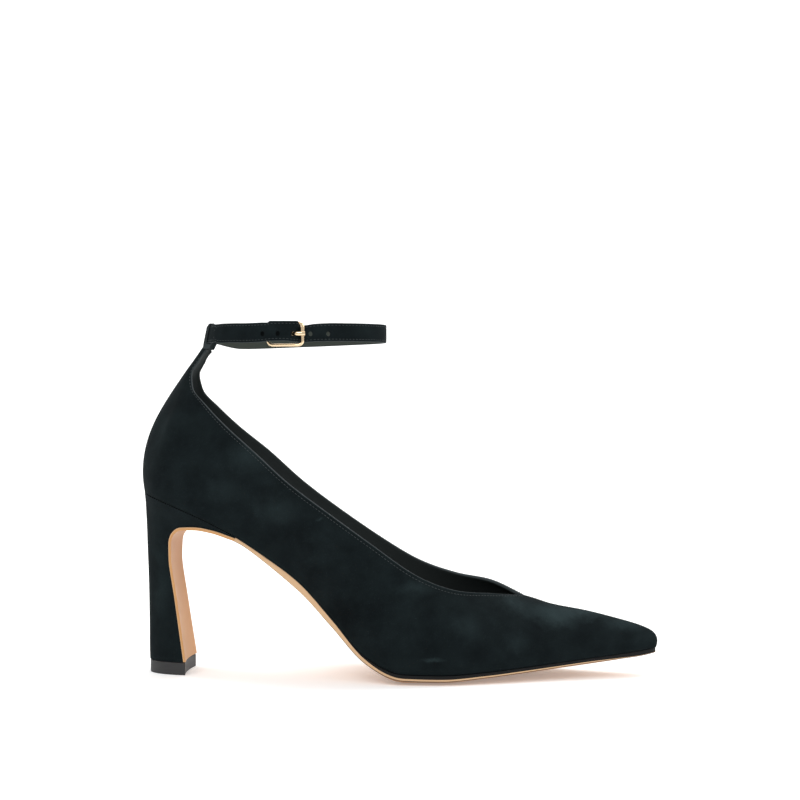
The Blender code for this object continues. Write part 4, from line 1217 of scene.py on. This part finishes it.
def make_shoe():
    """All the pieces of the shoe."""
    suede = suede_with_painted_light("brushed black suede with painted light", "080d0f", "2c383a")
    # Suede skived, turned over and pressed: flat, and painted a shade lighter than the nap, partly as a
    # painted highlight along the edges
    cut_and_highlight = plain("folded suede edge with painted highlight", "283032", 0.9)
    lining = lining_leather("plated black lining", "262b2b", 0.8)
    # The strap's own backing is greyer and a little smoother than the lining of the upper
    strap_lining = lining_leather("plated grey lining", "343a35", 0.65)
    tan = sole_leather("rolled tan sole leather", "b4814f", "c59563")
    # Black edge dye with painted shade where the upper overhangs the sole: a dark line with hardly any shine;
    # under the bare stripe a thin brown line of painted shade
    black_dye_and_shade = plain("black edge dye and painted shade", "08090a", 0.6, shine=0.2)
    painted_under_shade = plain("painted brown shade under the edge", "5a4230", 0.5)
    # Sole leather cut and left bare: a pale, dry stripe
    bare = plain("bare cut leather", "c9a57e", 0.6)
    # Moulded rubber, buffed level with the heel: dark grey and half dull
    rubber = plain("buffed dark rubber", "262627", 0.6)
    # Walls and floors of the punched holes, painted dark as the shade inside them
    painted_hole_shade = plain("painted shade in punched holes", "0b0f10", 0.95, shine=0.1)
    # Twisted polyester thread: short, slightly lighter dashes along the edges
    thread = plain("black polyester thread", "1e2527", 0.7)
    # Cast zinc, plated and polished: small, warm, sharp highlights
    gold = plain("polished pale gold plate", "ead0ab", 0.18, metallic=1.0)
    make_upper(suede, lining, cut_and_highlight)
    make_tunnel(suede, cut_and_highlight)
    make_insole(lining)
    make_sole(tan, black_dye_and_shade, painted_under_shade, bare)
    make_heel(suede)
    make_toplift(rubber)
    make_strap(suede, strap_lining, cut_and_highlight, painted_hole_shade)
    make_buckle_frame(gold)
    make_buckle_prong(gold)
    make_stitches("collar_stitches", [collar_run(side) for side in SIDES], thread)
    make_stitches("strap_stitches", [strap_run(edge) for edge in (-1, 1)], thread)


def make_studio():
    """Pale paper sweep under and behind the shoe, and soft lights round it."""
    profile = [(-SWEEP_FRONT, 0.0), (SWEEP_BACK, 0.0)]
    for angle in spread(-90, 0, SWEEP_STEPS)[1:]:
        swing = math.radians(angle)
        profile.append((SWEEP_BACK + SWEEP_BEND * math.cos(swing), SWEEP_BEND * (1 + math.sin(swing))))
    profile.append((SWEEP_BACK + SWEEP_BEND, SWEEP_HIGH))
    mesh = bpy.data.meshes.new("studio_sweep")
    points = [(x, y, z) for y, z in profile for x in (-SWEEP_WIDE, SWEEP_WIDE)]
    mesh.from_pydata(points, [], [(i, i + 1, i + 3, i + 2) for i in range(0, len(points) - 2, 2)])
    mesh.shade_smooth()
    # Matt paper, lit from below as well: white, with a faint shadow
    mesh.materials.append(plain("matt white paper", "f4f4f4", 0.9, glow=FLOOR_GLOW))
    sweep = bpy.data.objects.new("studio_sweep", mesh)
    bpy.context.collection.objects.link(sweep)
    for row in LIGHTS:
        light = bpy.data.lights.new(row.name, "AREA")
        light.energy = row.watts
        light.shape = "DISK"
        light.size = row.size
        lamp = bpy.data.objects.new(row.name, light)
        lamp.location = (row.x, row.y, row.z)
        aim = Vector((0.0, row.aim_y, row.aim_z)) - lamp.location
        lamp.rotation_euler = aim.to_track_quat("-Z", "Y").to_euler()
        bpy.context.collection.objects.link(lamp)
    world = bpy.data.worlds.new("studio")
    world.use_nodes = True
    sky = world.node_tree.nodes["Background"]
    sky.inputs["Color"].default_value = linear("ffffff")
    sky.inputs["Strength"].default_value = SKY_STRENGTH
    bpy.context.scene.world = world
    bpy.context.scene.view_settings.view_transform = "Standard"


def make_camera():
    """Camera level with the middle of the shoe's height, a little towards the toe."""
    turn = math.radians(CAMERA_TURN)
    camera = bpy.data.objects.new("camera", bpy.data.cameras.new("camera"))
    camera.data.sensor_width = SENSOR
    camera.data.lens = LENS
    place = np.array([CAMERA_AWAY * math.sin(turn), -CAMERA_AWAY * math.cos(turn), CAMERA_HIGH])
    camera.location = placed(place)
    camera.rotation_euler = (math.pi / 2, 0.0, turn)
    bpy.context.collection.objects.link(camera)
    bpy.context.scene.camera = camera


make_shoe()
make_studio()
make_camera()
